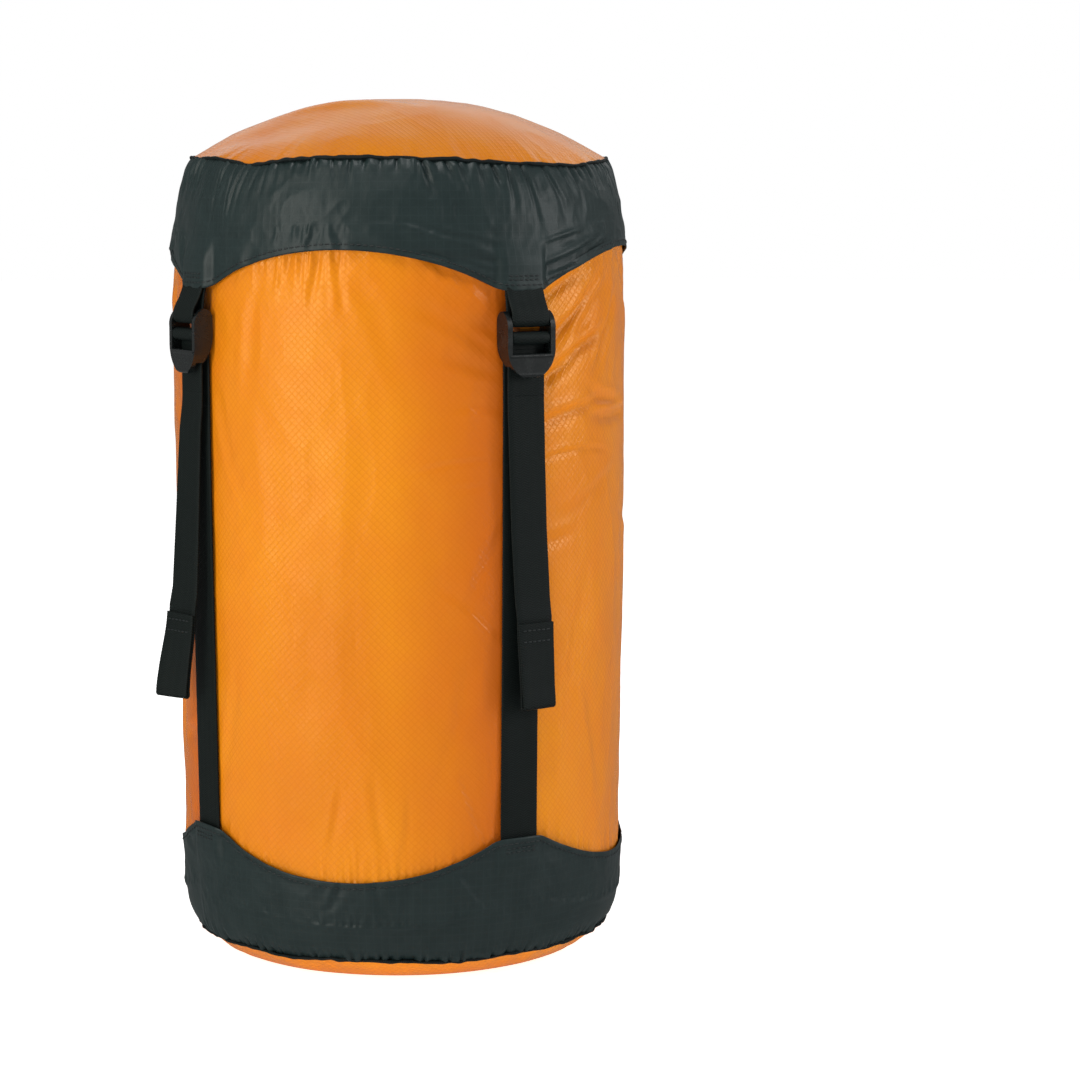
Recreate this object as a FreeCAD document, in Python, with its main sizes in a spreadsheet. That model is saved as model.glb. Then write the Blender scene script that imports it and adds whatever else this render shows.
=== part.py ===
"""A webbing-strapped compression sack, standing full height with its lid on.

A fabric tube stands on a round base and gathers into a drawcord mouth at the top. A round lid with four
points sits over the mouth. A ladder lock hangs from each point of the lid, and a strap from each point of
the base runs up the wall, through its ladder lock, and hangs down again as a tail that ends in a folded
pull tab. Pulling the tails draws the lid down and shortens the sack.

Millimetres, +Z up. The origin is on the floor at the sack's axis. The straps stand at 45 degrees to X
and Y, and the wall's seam is at +Y.
"""

import FreeCAD, Part

import math
import os
import re

import Sketcher

# alias: (size in millimetres, what it is)
SIZES = {
    "skin": (1.2, "thickness of every fabric skin and of the webbing"),
    "wall_radius": (109, "outside of the wall, lower tube"),
    "fold_gap": (0.5, "gap between the wall's telescoping tubes"),
    "fold_overlap": (12, "how far those tubes overlap when the sack is tall"),
    "travel": (190, "how far the lid comes down when the straps are pulled"),
    "base_seam": (11, "height of the seam round the base"),
    "lid_seam": (385, "height of the seam round the lid"),
    "crown": (415, "height of the lid's top"),
    "flat_radius": (72, "flat middle of the base"),
    "seam_radius": (100.4, "radius of both seams"),
    "binding": (1.2, "radius of the binding rolled round each seam"),
    "seam_gap": (0.2, "gap on each side of a binding"),
    "ring_radius": (112.3, "outside of the lid's and the base's rings"),
    "ring_bend": (18.5, "height over which a ring turns from its seam to upright"),
    "ring_middle": (39, "height of a ring above its seam, halfway between points"),
    "ring_point": (58, "height of a ring above its seam, at a point"),
    "point_half": (11.5, "half the width of a ring's point"),
    "gather_rim": (353, "height where the wall starts to turn in to the mouth"),
    "gather_bend": (24, "radius of that turn"),
    "gather_inner": (380.5, "height of the gathered top beside the hem"),
    "hem_inner": (13.2, "inside of the hem round the mouth"),
    "hem_outer": (18.8, "outside of the hem"),
    "hem_low": (379, "lower edge of the hem"),
    "hem_high": (398, "upper edge of the hem"),
    "cord_level": (392, "height of the drawcord"),
    "cord_ring": (16, "radius of the drawcord's ring in the hem"),
    "cord": (1.5, "radius of the drawcord"),
    "channel": (1.8, "radius of the drawcord's channel"),
    "cord_half": (2.2, "half the distance between the drawcord's two ends"),
    "cord_bend": (2.6, "radius where the drawcord leaves the hem"),
    "cord_end": (54, "distance of the drawcord's ends from the axis"),
    "lock_place": (40, "distance of the cord lock from the axis"),
    "lock_radius": (8, "outside of the cord lock's barrel"),
    "lock_bore": (6, "bore of the barrel"),
    "lock_above": (6, "height of the barrel above the drawcord"),
    "lock_below": (9.4, "depth of the barrel below the drawcord"),
    "lock_floor": (1.2, "thickness of the barrel's floor"),
    "button_radius": (5.8, "radius of the cord lock's button"),
    "button_proud": (5, "how far the button stands out of the barrel"),
    "button_travel": (3, "how far the button goes in"),
    "slot_half": (4.1, "half the width of the slots that the drawcord passes"),
    "spring_radius": (3.6, "mean radius of the button's spring"),
    "spring_wire": (0.35, "radius of the spring's wire"),
    "webbing": (20, "width of the webbing"),
    "bar_radius": (115.6, "distance of a ladder lock's top bar from the axis"),
    "bar_level": (312, "height of the top bars"),
    "top_bar": (1.75, "radius of a top bar"),
    "bar_gap": (0.25, "gap between a top bar and its webbing loop"),
    "frame_half": (13, "half the width of a ladder lock"),
    "window_half": (10.4, "half the width of its window"),
    "rail_back": (6.2, "how far its side rails reach in from the top bar"),
    "rail_front": (3.4, "how far its side rails reach out from the top bar"),
    "rail_top": (4.2, "how far its side rails rise above the top bar"),
    "grip_drop": (8.2, "how far the grip bar is below the top bar"),
    "grip_out": (0.8, "how far the grip bar is outside the top bar"),
    "grip_bar": (1.6, "radius of the grip bar"),
    "tongue_root": (16.2, "how far the tongue's root is below the top bar"),
    "tongue_tip": (26.4, "how far the tongue's tip is below the top bar"),
    "tongue_plate": (2.1, "thickness of the tongue"),
    "tongue_lip": (1.3, "radius of the lip along the tongue's root"),
    "shield_top": (13.5, "how far below the top bar a ladder lock starts to narrow"),
    "shield_tip": (3.6, "half the width of the tongue's tip"),
    "shield_bend": (14.5, "radius of the ladder lock's narrowing sides"),
    "strap_gap": (0.3, "gap between the wall and a strap"),
    "strap_foot": (44, "height of a strap's sewn end, under the base ring"),
    "strap_joint": (12, "how far below its top bar a strap's standing part ends"),
    "bend_gap": (0.3, "gap where a strap's stretches bend against each other"),
    "tail_inset": (1.85, "how far a tail hangs inside its top bar"),
    "neck_pivot": (13.6, "how far below the top bar a strap bends as its ladder lock tilts"),
    "tail_pivot": (28.5, "how far below the top bar a tail swings"),
    "tail_end": (181, "how far the tail's end is below the top bar"),
    "tab_length": (42, "length of the folded pull tab"),
    "tab_bend": (0.95, "radius of the tab's fold"),
    "tack_height": (2.4, "height of a bar tack"),
    "tack_width": (17, "width of a bar tack"),
    "tack": (0.5, "thickness of a bar tack"),
    "label_low": (60, "lower edge of the label"),
    "label_high": (86, "upper edge of the label"),
    "label_width": (15, "width of the label"),
    "tape_width": (9, "width of the wall's seam"),
    "trim": (0.4, "thickness of the label and of the seam"),
}

CORNERS = {"front_right": -45, "back_right": 45, "back_left": 135, "front_left": 225}  # degrees from +X

doc = FreeCAD.newDocument("compression_sack")


# ---------------------------------------------------------------- the sheet, sketches and features


def make_sheet():
    sheet = doc.addObject("Spreadsheet::Sheet", "Dims")
    for row, (alias, (size, meaning)) in enumerate(SIZES.items(), start=1):
        sheet.set(f"A{row}", meaning)
        sheet.set(f"B{row}", str(size))
        sheet.setAlias(f"B{row}", alias)
    doc.recompute()
    return sheet


def bound(formula):
    """The formula with each alias written as a cell of the sheet."""
    return re.sub(r"[a-z_]+", lambda m: f"Dims.{m[0]}" if m[0] in SIZES else m[0], str(formula))


def worked_out(owner, formula):
    return float(owner.evalExpression(bound(formula)))


def tie(owner, prop, formula):
    """Sets a property from a formula, and keeps it tied to the sheet."""
    setattr(owner, prop, worked_out(owner, formula))
    owner.setExpression(prop, bound(formula))


def body(label, turn=0.0):
    made = doc.addObject("PartDesign::Body", label)
    made.Label = label
    made.Placement = FreeCAD.Placement(FreeCAD.Vector(), FreeCAD.Rotation(FreeCAD.Vector(0, 0, 1), turn))
    return made


def sketch_on(owner, role, offset="0"):
    """A sketch on one of the body's own origin planes, moved along the plane's normal."""
    sketch = owner.newObject("Sketcher::SketchObject", f"{owner.Name}_sketch")
    plane = next(f for f in owner.Origin.OriginFeatures if f.Role == role)
    sketch.AttachmentSupport = [(plane, "")]
    sketch.MapMode = "FlatFace"
    if offset != "0":
        sketch.setExpression("AttachmentOffset.Base.z", bound(offset))
    return sketch


def pin(sketch, kind, edge, point, formula):
    """A dimension on a sketch's point or edge, tied to the sheet where it names a cell."""
    value = worked_out(sketch, formula)
    place = (edge,) if point is None else (edge, point)
    index = sketch.addConstraint(Sketcher.Constraint(kind, *place, value))
    if bound(formula) != str(formula):
        sketch.setExpression(f"Constraints[{index}]", bound(formula))


def trace(sketch, corners, closed=True):
    """Draws lines and arcs from corner to corner, each tied to the sheet.

    A corner is (across, up) or (across, up, radius). The radius bends the edge that leaves the corner: to
    the left if it starts with +, and to the right if it starts with -.
    """
    points = [FreeCAD.Vector(worked_out(sketch, c[0]), worked_out(sketch, c[1]), 0) for c in corners]
    count = len(corners) if closed else len(corners) - 1
    ends = []
    for i in range(count):
        start, end = points[i], points[(i + 1) % len(points)]
        if len(corners[i]) == 2:
            edge = sketch.addGeometry(Part.LineSegment(start, end), False)
            ends.append((edge, 1, 2))
            continue
        bend = corners[i][2]
        left = bend[0] == "+"
        radius = worked_out(sketch, bend[1:])
        chord = end - start
        across = FreeCAD.Vector(-chord.y, chord.x, 0).normalize() * (1 if left else -1)
        centre = (start + end) * 0.5 + across * math.sqrt(max(radius**2 - chord.Length**2 / 4, 0))
        angles = [math.atan2(p.y - centre.y, p.x - centre.x) for p in (start, end)]
        if not left:
            angles.reverse()
        circle = Part.Circle(centre, FreeCAD.Vector(0, 0, 1), radius)
        edge = sketch.addGeometry(Part.ArcOfCircle(circle, *angles), False)
        ends.append((edge, 1, 2) if left else (edge, 2, 1))
        pin(sketch, "Radius", edge, None, bend[1:])
    for i, (edge, first, last) in enumerate(ends):
        pin(sketch, "DistanceX", edge, first, corners[i][0])
        pin(sketch, "DistanceY", edge, first, corners[i][1])
        if closed or i + 1 < count:
            following = ends[(i + 1) % count]
            sketch.addConstraint(Sketcher.Constraint("Coincident", edge, last, following[0], following[1]))
    if not closed:
        pin(sketch, "DistanceX", ends[-1][0], ends[-1][2], corners[-1][0])
        pin(sketch, "DistanceY", ends[-1][0], ends[-1][2], corners[-1][1])
    return sketch


def circle(sketch, across, up, radius):
    centre = FreeCAD.Vector(worked_out(sketch, across), worked_out(sketch, up), 0)
    edge = sketch.addGeometry(
        Part.Circle(centre, FreeCAD.Vector(0, 0, 1), worked_out(sketch, radius)), False
    )
    pin(sketch, "DistanceX", edge, 3, across)
    pin(sketch, "DistanceY", edge, 3, up)
    pin(sketch, "Radius", edge, None, radius)
    return sketch


def box_corners(low_x, low_y, high_x, high_y):
    return [(low_x, low_y), (high_x, low_y), (high_x, high_y), (low_x, high_y)]


def revolve(owner, corners, angle=None):
    """Turns a closed outline, drawn as (radius, height), about Z: all the way, or through an angle."""
    sketch = trace(sketch_on(owner, "XZ_Plane"), corners)
    feature = owner.newObject("PartDesign::Revolution", f"{owner.Name}_turned")
    feature.Profile = sketch
    feature.ReferenceAxis = (sketch, ["V_Axis"])
    if angle is None:
        feature.Angle = 360
    else:
        tie(feature, "Angle", angle)
        feature.Midplane = True
    return feature


def extrude(owner, kind, sketch, length, symmetric=True):
    """A Pad or a Pocket of the given length."""
    feature = owner.newObject(f"PartDesign::{kind}", f"{owner.Name}_{kind.lower()}")
    feature.Profile = sketch
    tie(feature, "Length", length)
    if symmetric:
        feature.SideType = "Symmetric"
    return feature


def cut(owner, sketch, length):
    """A symmetric pocket, which has to take something away."""
    doc.recompute()
    before = owner.Shape.Volume
    feature = extrude(owner, "Pocket", sketch, length)
    doc.recompute()
    if not owner.Shape.Volume < before - 0.01:
        raise RuntimeError(f"{owner.Label}: a pocket cut nothing")
    return feature


def sweep(owner, kind, profile, path):
    feature = owner.newObject(f"PartDesign::{kind}Pipe", f"{owner.Name}_{kind.lower()}_pipe")
    feature.Profile = profile
    feature.Spine = (path, [f"Edge{i + 1}" for i in range(path.GeometryCount)])
    return feature


def webbing_along(owner, corners):
    """Webbing along an open path, drawn as (distance from the axis, height) at +Y, that starts upright."""
    path = trace(sketch_on(owner, "YZ_Plane"), corners, closed=False)
    across, level = corners[0][:2]
    profile = trace(
        sketch_on(owner, "XY_Plane", level),
        box_corners("-webbing / 2", f"{across} - skin / 2", "webbing / 2", f"{across} + skin / 2"),
    )
    doc.recompute()
    return sweep(owner, "Additive", profile, path)


def tack(owner, inner, level):
    """A bar tack: a short block of thread across the webbing at +Y, standing out from the radius `inner`."""
    sketch = trace(
        sketch_on(owner, "YZ_Plane"),
        box_corners(inner, f"{level} - tack_height / 2", f"{inner} + tack", f"{level} + tack_height / 2"),
    )
    return extrude(owner, "Pad", sketch, "tack_width")


# ---------------------------------------------------------------- fabric shells


def shoulder(deep, high):
    """Radius of an arc that leaves the upright and reaches a point `deep` inwards and `high` along."""
    return f"(({deep}) ^ 2 + ({high}) ^ 2) / (2 * ({deep}))"


def make_disc(label, seam, top, flat, up):
    """A round end panel: a flat middle that curves to its seam. `up` is + for the lid and - for the base."""
    made = body(label)
    edge = "(seam_radius - binding - seam_gap)"
    inward = "-" if up == "+" else "+"
    outer = f"(({edge} - {flat}) ^ 2 + ({top} - {seam}) ^ 2) / (2 * abs({top} - {seam}))"
    inner_top = f"{top} {inward} skin"
    inner_seam = f"{seam} {inward} skin"
    inner = f"(({edge} - {flat}) ^ 2 + ({inner_top} - ({inner_seam})) ^ 2) / (2 * abs({top} - {seam}))"
    turn, back = ("-", "+") if up == "+" else ("+", "-")
    outline = [("0", top), (flat, top, turn + outer), (edge, seam), (edge, inner_seam, back + inner)]
    outline += [(flat, inner_top), ("0", inner_top)]
    if flat == "0":
        outline = [("0", top, turn + outer), (edge, seam), (edge, inner_seam, back + inner), ("0", inner_top)]
    revolve(made, outline)


def make_ring(label, seam, up):
    """A ring with four points and an arched edge between them. `up` is + for the base and - for the lid."""
    made = body(label)
    edge = "(seam_radius + binding + seam_gap)"
    inner_edge = f"({edge} - skin * 0.4)"
    inner_lift = "skin"
    bend, point, middle = (f"({seam} {up} {part})" for part in ("ring_bend", "ring_point", "ring_middle"))
    inner = "(ring_radius - skin)"
    turn, back = ("+", "-") if up == "+" else ("-", "+")
    revolve(
        made,
        [
            (edge, seam, turn + shoulder(f"ring_radius - {edge}", "ring_bend")),
            ("ring_radius", bend),
            ("ring_radius", point),
            (inner, point),
            (inner, bend, back + shoulder(f"{inner} - {inner_edge}", f"ring_bend - {inner_lift}")),
            (inner_edge, f"{seam} {up} {inner_lift}"),
        ],
    )
    half = "((ring_radius - point_half) * sqrt(0.5))"
    arch = f"({half} ^ 2 + (ring_point - ring_middle) ^ 2) / (2 * (ring_point - ring_middle))"
    beyond = f"{point} {up} 2"
    for plane in ("XZ_Plane", "YZ_Plane"):
        outline = [
            (f"-{half}", point, turn + arch),
            ("0", middle, turn + arch),
            (half, point),
            (half, beyond),
            (f"-{half}", beyond),
        ]
        cut(made, trace(sketch_on(made, plane), outline), "3 * ring_radius")


def make_binding(label, seam):
    made = body(label)
    sketch = circle(sketch_on(made, "XZ_Plane"), "seam_radius", seam, "binding")
    feature = made.newObject("PartDesign::Revolution", f"{made.Name}_turned")
    feature.Profile = sketch
    feature.ReferenceAxis = (sketch, ["V_Axis"])
    feature.Angle = 360


def make_walls():
    """The fabric tube, as three tubes that slide into each other as the real fabric crumples."""
    step = "(skin + fold_gap)"
    lower_top = "(lid_seam - ring_bend - travel - 8)"
    middle_low = f"({lower_top} - fold_overlap)"
    middle_top = f"({middle_low} + (gather_rim - {middle_low}) / 2 + fold_overlap / 2)"
    upper_low = f"({middle_top} - fold_overlap)"
    foot = "(seam_radius + skin / 2)"
    bend_top = "(base_seam + ring_bend)"
    foot_level = "(base_seam + binding + 2 * seam_gap)"
    lower = body("wall_lower")
    revolve(
        lower,
        [
            (foot, foot_level, "+" + shoulder(f"wall_radius - {foot}", f"{bend_top} - {foot_level}")),
            ("wall_radius", bend_top),
            ("wall_radius", lower_top),
            ("wall_radius - skin", lower_top),
            (
                "wall_radius - skin",
                bend_top,
                "-" + shoulder(f"wall_radius - {foot}", f"{bend_top} - {foot_level}"),
            ),
            (f"{foot} - skin", foot_level),
        ],
    )
    spans = {"wall_middle": (1, middle_low, middle_top), "wall_upper": (2, upper_low, "gather_rim")}
    for label, (steps, low, high) in spans.items():
        outer = f"(wall_radius - {steps} * {step})"
        revolve(body(label), box_corners(f"{outer} - skin", low, outer, high))


def make_seam_and_label():
    """The wall's seam at +Y, and a plain label sewn beside its foot."""
    face = "(wall_radius + 0.1)"
    tape = body("side_seam", turn=90)
    low, high = "(base_seam + ring_middle / 2)", "(lid_seam - ring_middle)"
    revolve(tape, box_corners(face, low, f"{face} + trim", high), "tape_width / wall_radius * 180 / pi")
    label = body("side_label", turn=90)
    outline = box_corners(face, "label_low", f"{face} + trim", "label_high")
    revolve(label, outline, "label_width / wall_radius * 180 / pi")
    beside = worked_out(label, "(tape_width + label_width + 2) / 2 / wall_radius * 180 / pi")
    label.Placement = FreeCAD.Placement(
        FreeCAD.Vector(), FreeCAD.Rotation(FreeCAD.Vector(0, 0, 1), 90 + beside)
    )


# ---------------------------------------------------------------- the mouth


def make_gather():
    """The top of the wall, gathered in to the mouth."""
    made = body("mouth_gather")
    rim = "(wall_radius - 2 * (skin + fold_gap))"
    inner_end = "(hem_outer + 0.2)"
    flat_start = f"({rim} - gather_bend)"
    flat_level = "(gather_rim + gather_bend)"
    revolve(
        made,
        [
            (rim, "gather_rim + 0.1", "+gather_bend"),
            (flat_start, f"{flat_level} + 0.1"),
            (inner_end, "gather_inner"),
            (inner_end, "gather_inner - skin"),
            (flat_start, f"{flat_level} + 0.1 - skin", "-(gather_bend - skin)"),
            (f"{rim} - skin", "gather_rim + 0.1"),
        ],
    )


def cord_path(owner):
    """Centreline of the drawcord: in from one end, once round the hem, and out beside itself."""
    reach = "(cord_ring + cord_bend)"
    turn_y = "(cord_half + cord_bend)"
    turn_x = f"sqrt({reach} ^ 2 - {turn_y} ^ 2)"
    meet_x = f"({turn_x} * cord_ring / {reach})"
    meet_y = f"({turn_y} * cord_ring / {reach})"
    return trace(
        sketch_on(owner, "XY_Plane", "cord_level"),
        [
            ("cord_end", "cord_half"),
            (turn_x, "cord_half", "-cord_bend"),
            (meet_x, meet_y, "+cord_ring"),
            ("0", "cord_ring", "+cord_ring"),
            ("-cord_ring", "0", "+cord_ring"),
            ("0", "-cord_ring", "+cord_ring"),
            (meet_x, f"-{meet_y}", "-cord_bend"),
            (turn_x, "-cord_half"),
            ("cord_end", "-cord_half"),
        ],
        closed=False,
    )


def cord_section(owner, radius):
    return circle(sketch_on(owner, "YZ_Plane", "cord_end"), "cord_half", "cord_level", radius)


def make_hem_and_cord():
    hem = body("mouth_hem")
    revolve(hem, box_corners("hem_inner", "hem_low", "hem_outer", "hem_high"))
    path, section = cord_path(hem), cord_section(hem, "channel")
    doc.recompute()
    before = hem.Shape.Volume
    sweep(hem, "Subtractive", section, path)
    doc.recompute()
    if not hem.Shape.Volume < before - 1:
        raise RuntimeError("the drawcord's channel cut nothing")
    cord = body("drawcord")
    path, section = cord_path(cord), cord_section(cord, "cord")
    doc.recompute()
    sweep(cord, "Additive", section, path)


def make_cord_lock():
    """A barrel, a sprung button across it, and one slot through both that the drawcord passes."""
    low, floor = "(cord_level - lock_below)", "(cord_level - lock_below + lock_floor)"
    top = "(cord_level + lock_above)"
    barrel = body("cord_lock_barrel")
    revolve(
        barrel,
        [
            ("0", low),
            ("lock_radius - 1", low, "+1"),
            ("lock_radius", f"{low} + 1"),
            ("lock_radius", f"{top} - 1", "+1"),
            ("lock_radius - 1", top),
            ("lock_bore", top),
            ("lock_bore", floor),
            ("0", floor),
        ],
    )
    slot = box_corners("-slot_half", "cord_level - cord - 0.1", "slot_half", "cord_level + cord + 0.1")
    cut(barrel, trace(sketch_on(barrel, "YZ_Plane"), slot), "4 * lock_radius")
    button = body("cord_lock_button")
    head = f"({top} + button_proud)"
    foot = "(cord_level - cord - 1.6)"
    revolve(
        button,
        [
            ("0", foot),
            ("button_radius", foot),
            ("button_radius", f"{head} - 2", "+2"),
            ("button_radius - 2", head),
            ("0", head),
        ],
    )
    slot_high = "cord_level + cord + button_travel + 0.2"
    slot = box_corners("-slot_half", "cord_level - cord - 0.1", "slot_half", slot_high)
    cut(button, trace(sketch_on(button, "YZ_Plane"), slot), "4 * lock_radius")
    spring = body("cord_lock_spring")
    level = f"{floor} + spring_wire + 0.1"
    sketch = circle(sketch_on(spring, "XZ_Plane"), "spring_radius", level, "spring_wire")
    doc.recompute()
    coil = spring.newObject("PartDesign::AdditiveHelix", "spring_coil")
    coil.Profile = sketch
    coil.ReferenceAxis = (sketch, ["V_Axis"])
    coil.Mode = "height-turns-angle"
    coil.Turns = 4
    tie(coil, "Height", f"{foot} - {floor} - 2 * spring_wire - 0.2")
    for piece in (barrel, button, spring):
        piece.Placement.Base = FreeCAD.Vector(worked_out(piece, "lock_place"), 0, 0)
        piece.setExpression("Placement.Base.x", bound("lock_place"))


# ---------------------------------------------------------------- straps and ladder locks, drawn at +Y


def below_bar(drop):
    return f"(bar_level - {drop})"


def make_strap(corner, turn):
    """The standing part of a strap, from under the base ring's point up to its ladder lock."""
    made = body(f"strap_{corner}", turn)
    lie = "(wall_radius + strap_gap + skin / 2)"
    webbing_along(made, [(lie, "strap_foot"), (lie, below_bar("(strap_joint + bend_gap)"))])


def make_buckle_loop(corner, turn):
    """Webbing sewn to the lid's point and folded round the ladder lock's top bar."""
    made = body(f"buckle_loop_{corner}", turn)
    fold = "(top_bar + bar_gap + skin / 2)"
    shift = f"(2 * {fold} - skin * 1.1)"
    ease = f"({shift} / (2 - sqrt(2)))"
    back, front = f"(bar_radius - {fold})", f"(bar_radius + {fold})"
    top = "(lid_seam - ring_point + point_half)"
    start = "(bar_level + 2)"
    webbing_along(
        made,
        [
            (back, top),
            (back, "bar_level", "+" + fold),
            ("bar_radius", f"bar_level - {fold}", "+" + fold),
            (front, "bar_level"),
            (front, start, "+" + ease),
            (f"{front} - {shift} / 2", f"{start} + {ease} * sqrt(0.5)", "-" + ease),
            (f"{front} - {shift}", f"{start} + {ease} * sqrt(2)"),
            (f"{front} - {shift}", top),
        ],
    )


def make_ladder_lock(corner, turn):
    """A moulded frame: deep side rails, a top bar, a grip bar, and a hollow-backed tongue to lift."""
    made = body(f"ladder_lock_{corner}", turn)
    front, back = "(bar_radius + rail_front)", "(bar_radius - rail_back)"
    side_view = [
        (front, below_bar("5"), "+9"),
        ("bar_radius - 1.5", "bar_level + rail_top", "+4.8"),
        (back, below_bar("0.6")),
        (back, below_bar("(grip_drop + 0.8)"), "+28"),
        (f"{front} - 2.6", below_bar("(tongue_tip - 0.6)"), "+1.2"),
        (f"{front} - 1", below_bar("tongue_tip"), "+1.6"),
        (front, below_bar("(tongue_tip - 2)")),
    ]
    extrude(made, "Pad", trace(sketch_on(made, "YZ_Plane"), side_view), "2 * frame_half")
    window = box_corners("-window_half", below_bar("tongue_root"), "window_half", "bar_level + 2 * rail_top")
    cut(made, trace(sketch_on(made, "XZ_Plane"), window), "4 * bar_radius")
    plate = f"({front} - tongue_plate)"
    behind_tongue = [
        (f"{back} - 1", below_bar("(tongue_root - 1)")),
        (plate, below_bar("(tongue_root - 1)")),
        (plate, below_bar("(tongue_tip - 3)")),
        (f"{front} - 3.4", below_bar("(tongue_tip + 1)")),
        (f"{back} - 1", below_bar("(tongue_tip + 1)")),
    ]
    cut(made, trace(sketch_on(made, "YZ_Plane"), behind_tongue), "2 * window_half")
    for side, turning in (("", "-"), ("-", "+")):
        beside = f"{side}(frame_half + 1)"
        narrowing = [
            (beside, below_bar("shield_top")),
            (f"{side}frame_half", below_bar("shield_top"), turning + "shield_bend"),
            (f"{side}shield_tip", below_bar("(tongue_tip + 0.2)")),
            (f"{side}shield_tip", below_bar("(tongue_tip + 1)")),
            (beside, below_bar("(tongue_tip + 1)")),
        ]
        cut(made, trace(sketch_on(made, "XZ_Plane"), narrowing), "4 * bar_radius")
    bars = [
        ("bar_radius", "bar_level", "top_bar"),
        ("bar_radius + grip_out", below_bar("grip_drop"), "grip_bar"),
        (f"{front} - tongue_lip + 0.3", below_bar("(tongue_root + 0.4)"), "tongue_lip"),
    ]
    for out, level, radius in bars:
        sketch = circle(sketch_on(made, "YZ_Plane"), out, level, radius)
        extrude(made, "Pad", sketch, "2 * window_half + 2")


def make_strap_turn(corner, turn):
    """The stretch of a strap inside its ladder lock: up behind the grip bar, over it and back under it."""
    made = body(f"strap_turn_{corner}", turn)
    lie = "(wall_radius + strap_gap + skin / 2)"
    hug = "(grip_bar + 0.1 + skin / 2)"
    enter = "3"
    leave = "1.5"
    over, under = below_bar(f"(grip_drop - {hug})"), below_bar(f"(grip_drop + {hug})")
    hang = "(bar_radius - tail_inset)"
    webbing_along(
        made,
        [
            (lie, below_bar("strap_joint")),
            (lie, f"{over} - {enter}", "-" + enter),
            (f"{lie} + {enter}", over),
            ("bar_radius + grip_out", over, "-" + hug),
            (f"bar_radius + grip_out + {hug}", below_bar("grip_drop"), "-" + hug),
            ("bar_radius + grip_out", under),
            (f"{hang} + {leave}", under, "+" + leave),
            (hang, f"{under} - {leave}"),
            (hang, below_bar("(neck_pivot - skin / 2 - bend_gap)")),
        ],
    )


def knuckle(owner, across, level):
    """The rounded upper edge of a stretch of strap, where it bends."""
    sketch = circle(sketch_on(owner, "YZ_Plane"), across, level, "skin / 2")
    extrude(owner, "Pad", sketch, "webbing")


def make_neck(corner, turn):
    """The stretch of a strap behind the tongue, which stays upright as the ladder lock tilts."""
    made = body(f"strap_neck_{corner}", turn)
    hang = "(bar_radius - tail_inset)"
    webbing_along(
        made,
        [(hang, below_bar("neck_pivot")), (hang, below_bar("(tail_pivot - skin / 2 - bend_gap)"))],
    )
    knuckle(made, hang, below_bar("neck_pivot"))


def make_tail(corner, turn):
    """The free end of a strap, which folds below the tongue and ends in a tab of two layers."""
    made = body(f"strap_tail_{corner}", turn)
    hang = "(bar_radius - tail_inset)"
    fold = below_bar("(tail_end - tab_bend - skin / 2)")
    webbing_along(
        made,
        [
            (hang, below_bar("tail_pivot")),
            (hang, fold, "+tab_bend"),
            (f"{hang} + tab_bend", f"{fold} - tab_bend", "+tab_bend"),
            (f"{hang} + 2 * tab_bend", fold),
            (f"{hang} + 2 * tab_bend", f"{fold} + tab_length"),
        ],
    )
    knuckle(made, hang, below_bar("tail_pivot"))
    stitched = body(f"tab_tack_{corner}", turn)
    tack(stitched, f"{hang} + 2 * tab_bend + skin / 2", f"{fold} + tab_length - 4")


def make_tacks(label, inner, level):
    """The same bar tack on all four corners, as one group of separate solids."""
    for number, turn in enumerate(CORNERS.values()):
        made = body(f"{label}_{number}", turn - 90)
        tack(made, inner, level)
    pieces = [doc.getObject(f"{label}_{number}") for number in range(len(CORNERS))]
    doc.recompute()
    group = doc.addObject("Part::Compound", label)
    group.Label = label
    group.Links = pieces
    return [piece.Label for piece in pieces]


# ---------------------------------------------------------------- the whole sack


def build():
    """Makes every piece, and returns the labels of those that are only members of a group."""
    make_disc("base_panel", "base_seam", "0", "flat_radius", "-")
    make_disc("lid_panel", "lid_seam", "crown", "0", "+")
    make_ring("base_ring", "base_seam", "+")
    make_ring("lid_ring", "lid_seam", "-")
    make_binding("base_binding", "base_seam")
    make_binding("lid_binding", "lid_seam")
    make_walls()
    make_seam_and_label()
    make_gather()
    make_hem_and_cord()
    make_cord_lock()
    for corner, angle in CORNERS.items():
        turn = angle - 90
        make_strap(corner, turn)
        make_buckle_loop(corner, turn)
        make_ladder_lock(corner, turn)
        make_strap_turn(corner, turn)
        make_neck(corner, turn)
        make_tail(corner, turn)
    members = make_tacks("base_tacks", "ring_radius + 0.05", "base_seam + ring_point - 4")
    loop_face = "bar_radius - (top_bar + bar_gap + skin / 2) + skin * 1.6 + 0.05"
    members += make_tacks("lid_tacks", loop_face, "lid_seam - ring_point + 4")
    return members


def check_and_export(members):
    doc.recompute()
    for thing in doc.Objects:
        if {"Invalid", "Error"} & set(thing.State):
            raise RuntimeError(f"{thing.Label} failed: {thing.State}")
    whole = [o for o in doc.Objects if o.TypeId in ("PartDesign::Body", "Part::Compound")]
    whole = [o for o in whole if o.Label not in members]
    for piece in whole:
        if piece.Shape.isNull() or not piece.Shape.isValid() or not piece.Shape.Solids:
            raise RuntimeError(f"{piece.Label} has no valid solid")
    os.makedirs("parts", exist_ok=True)
    for piece in whole:
        piece.Shape.exportStep(os.path.join("parts", f"{piece.Label}.step"))
        print(f"{piece.Label}: {len(piece.Shape.Solids)} solid(s), {piece.Shape.Volume:.0f} mm3")


make_sheet()
check_and_export(build())
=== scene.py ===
"""Looks of the compression sack: the fabric skins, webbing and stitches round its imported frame."""

import math
from collections import namedtuple

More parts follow.
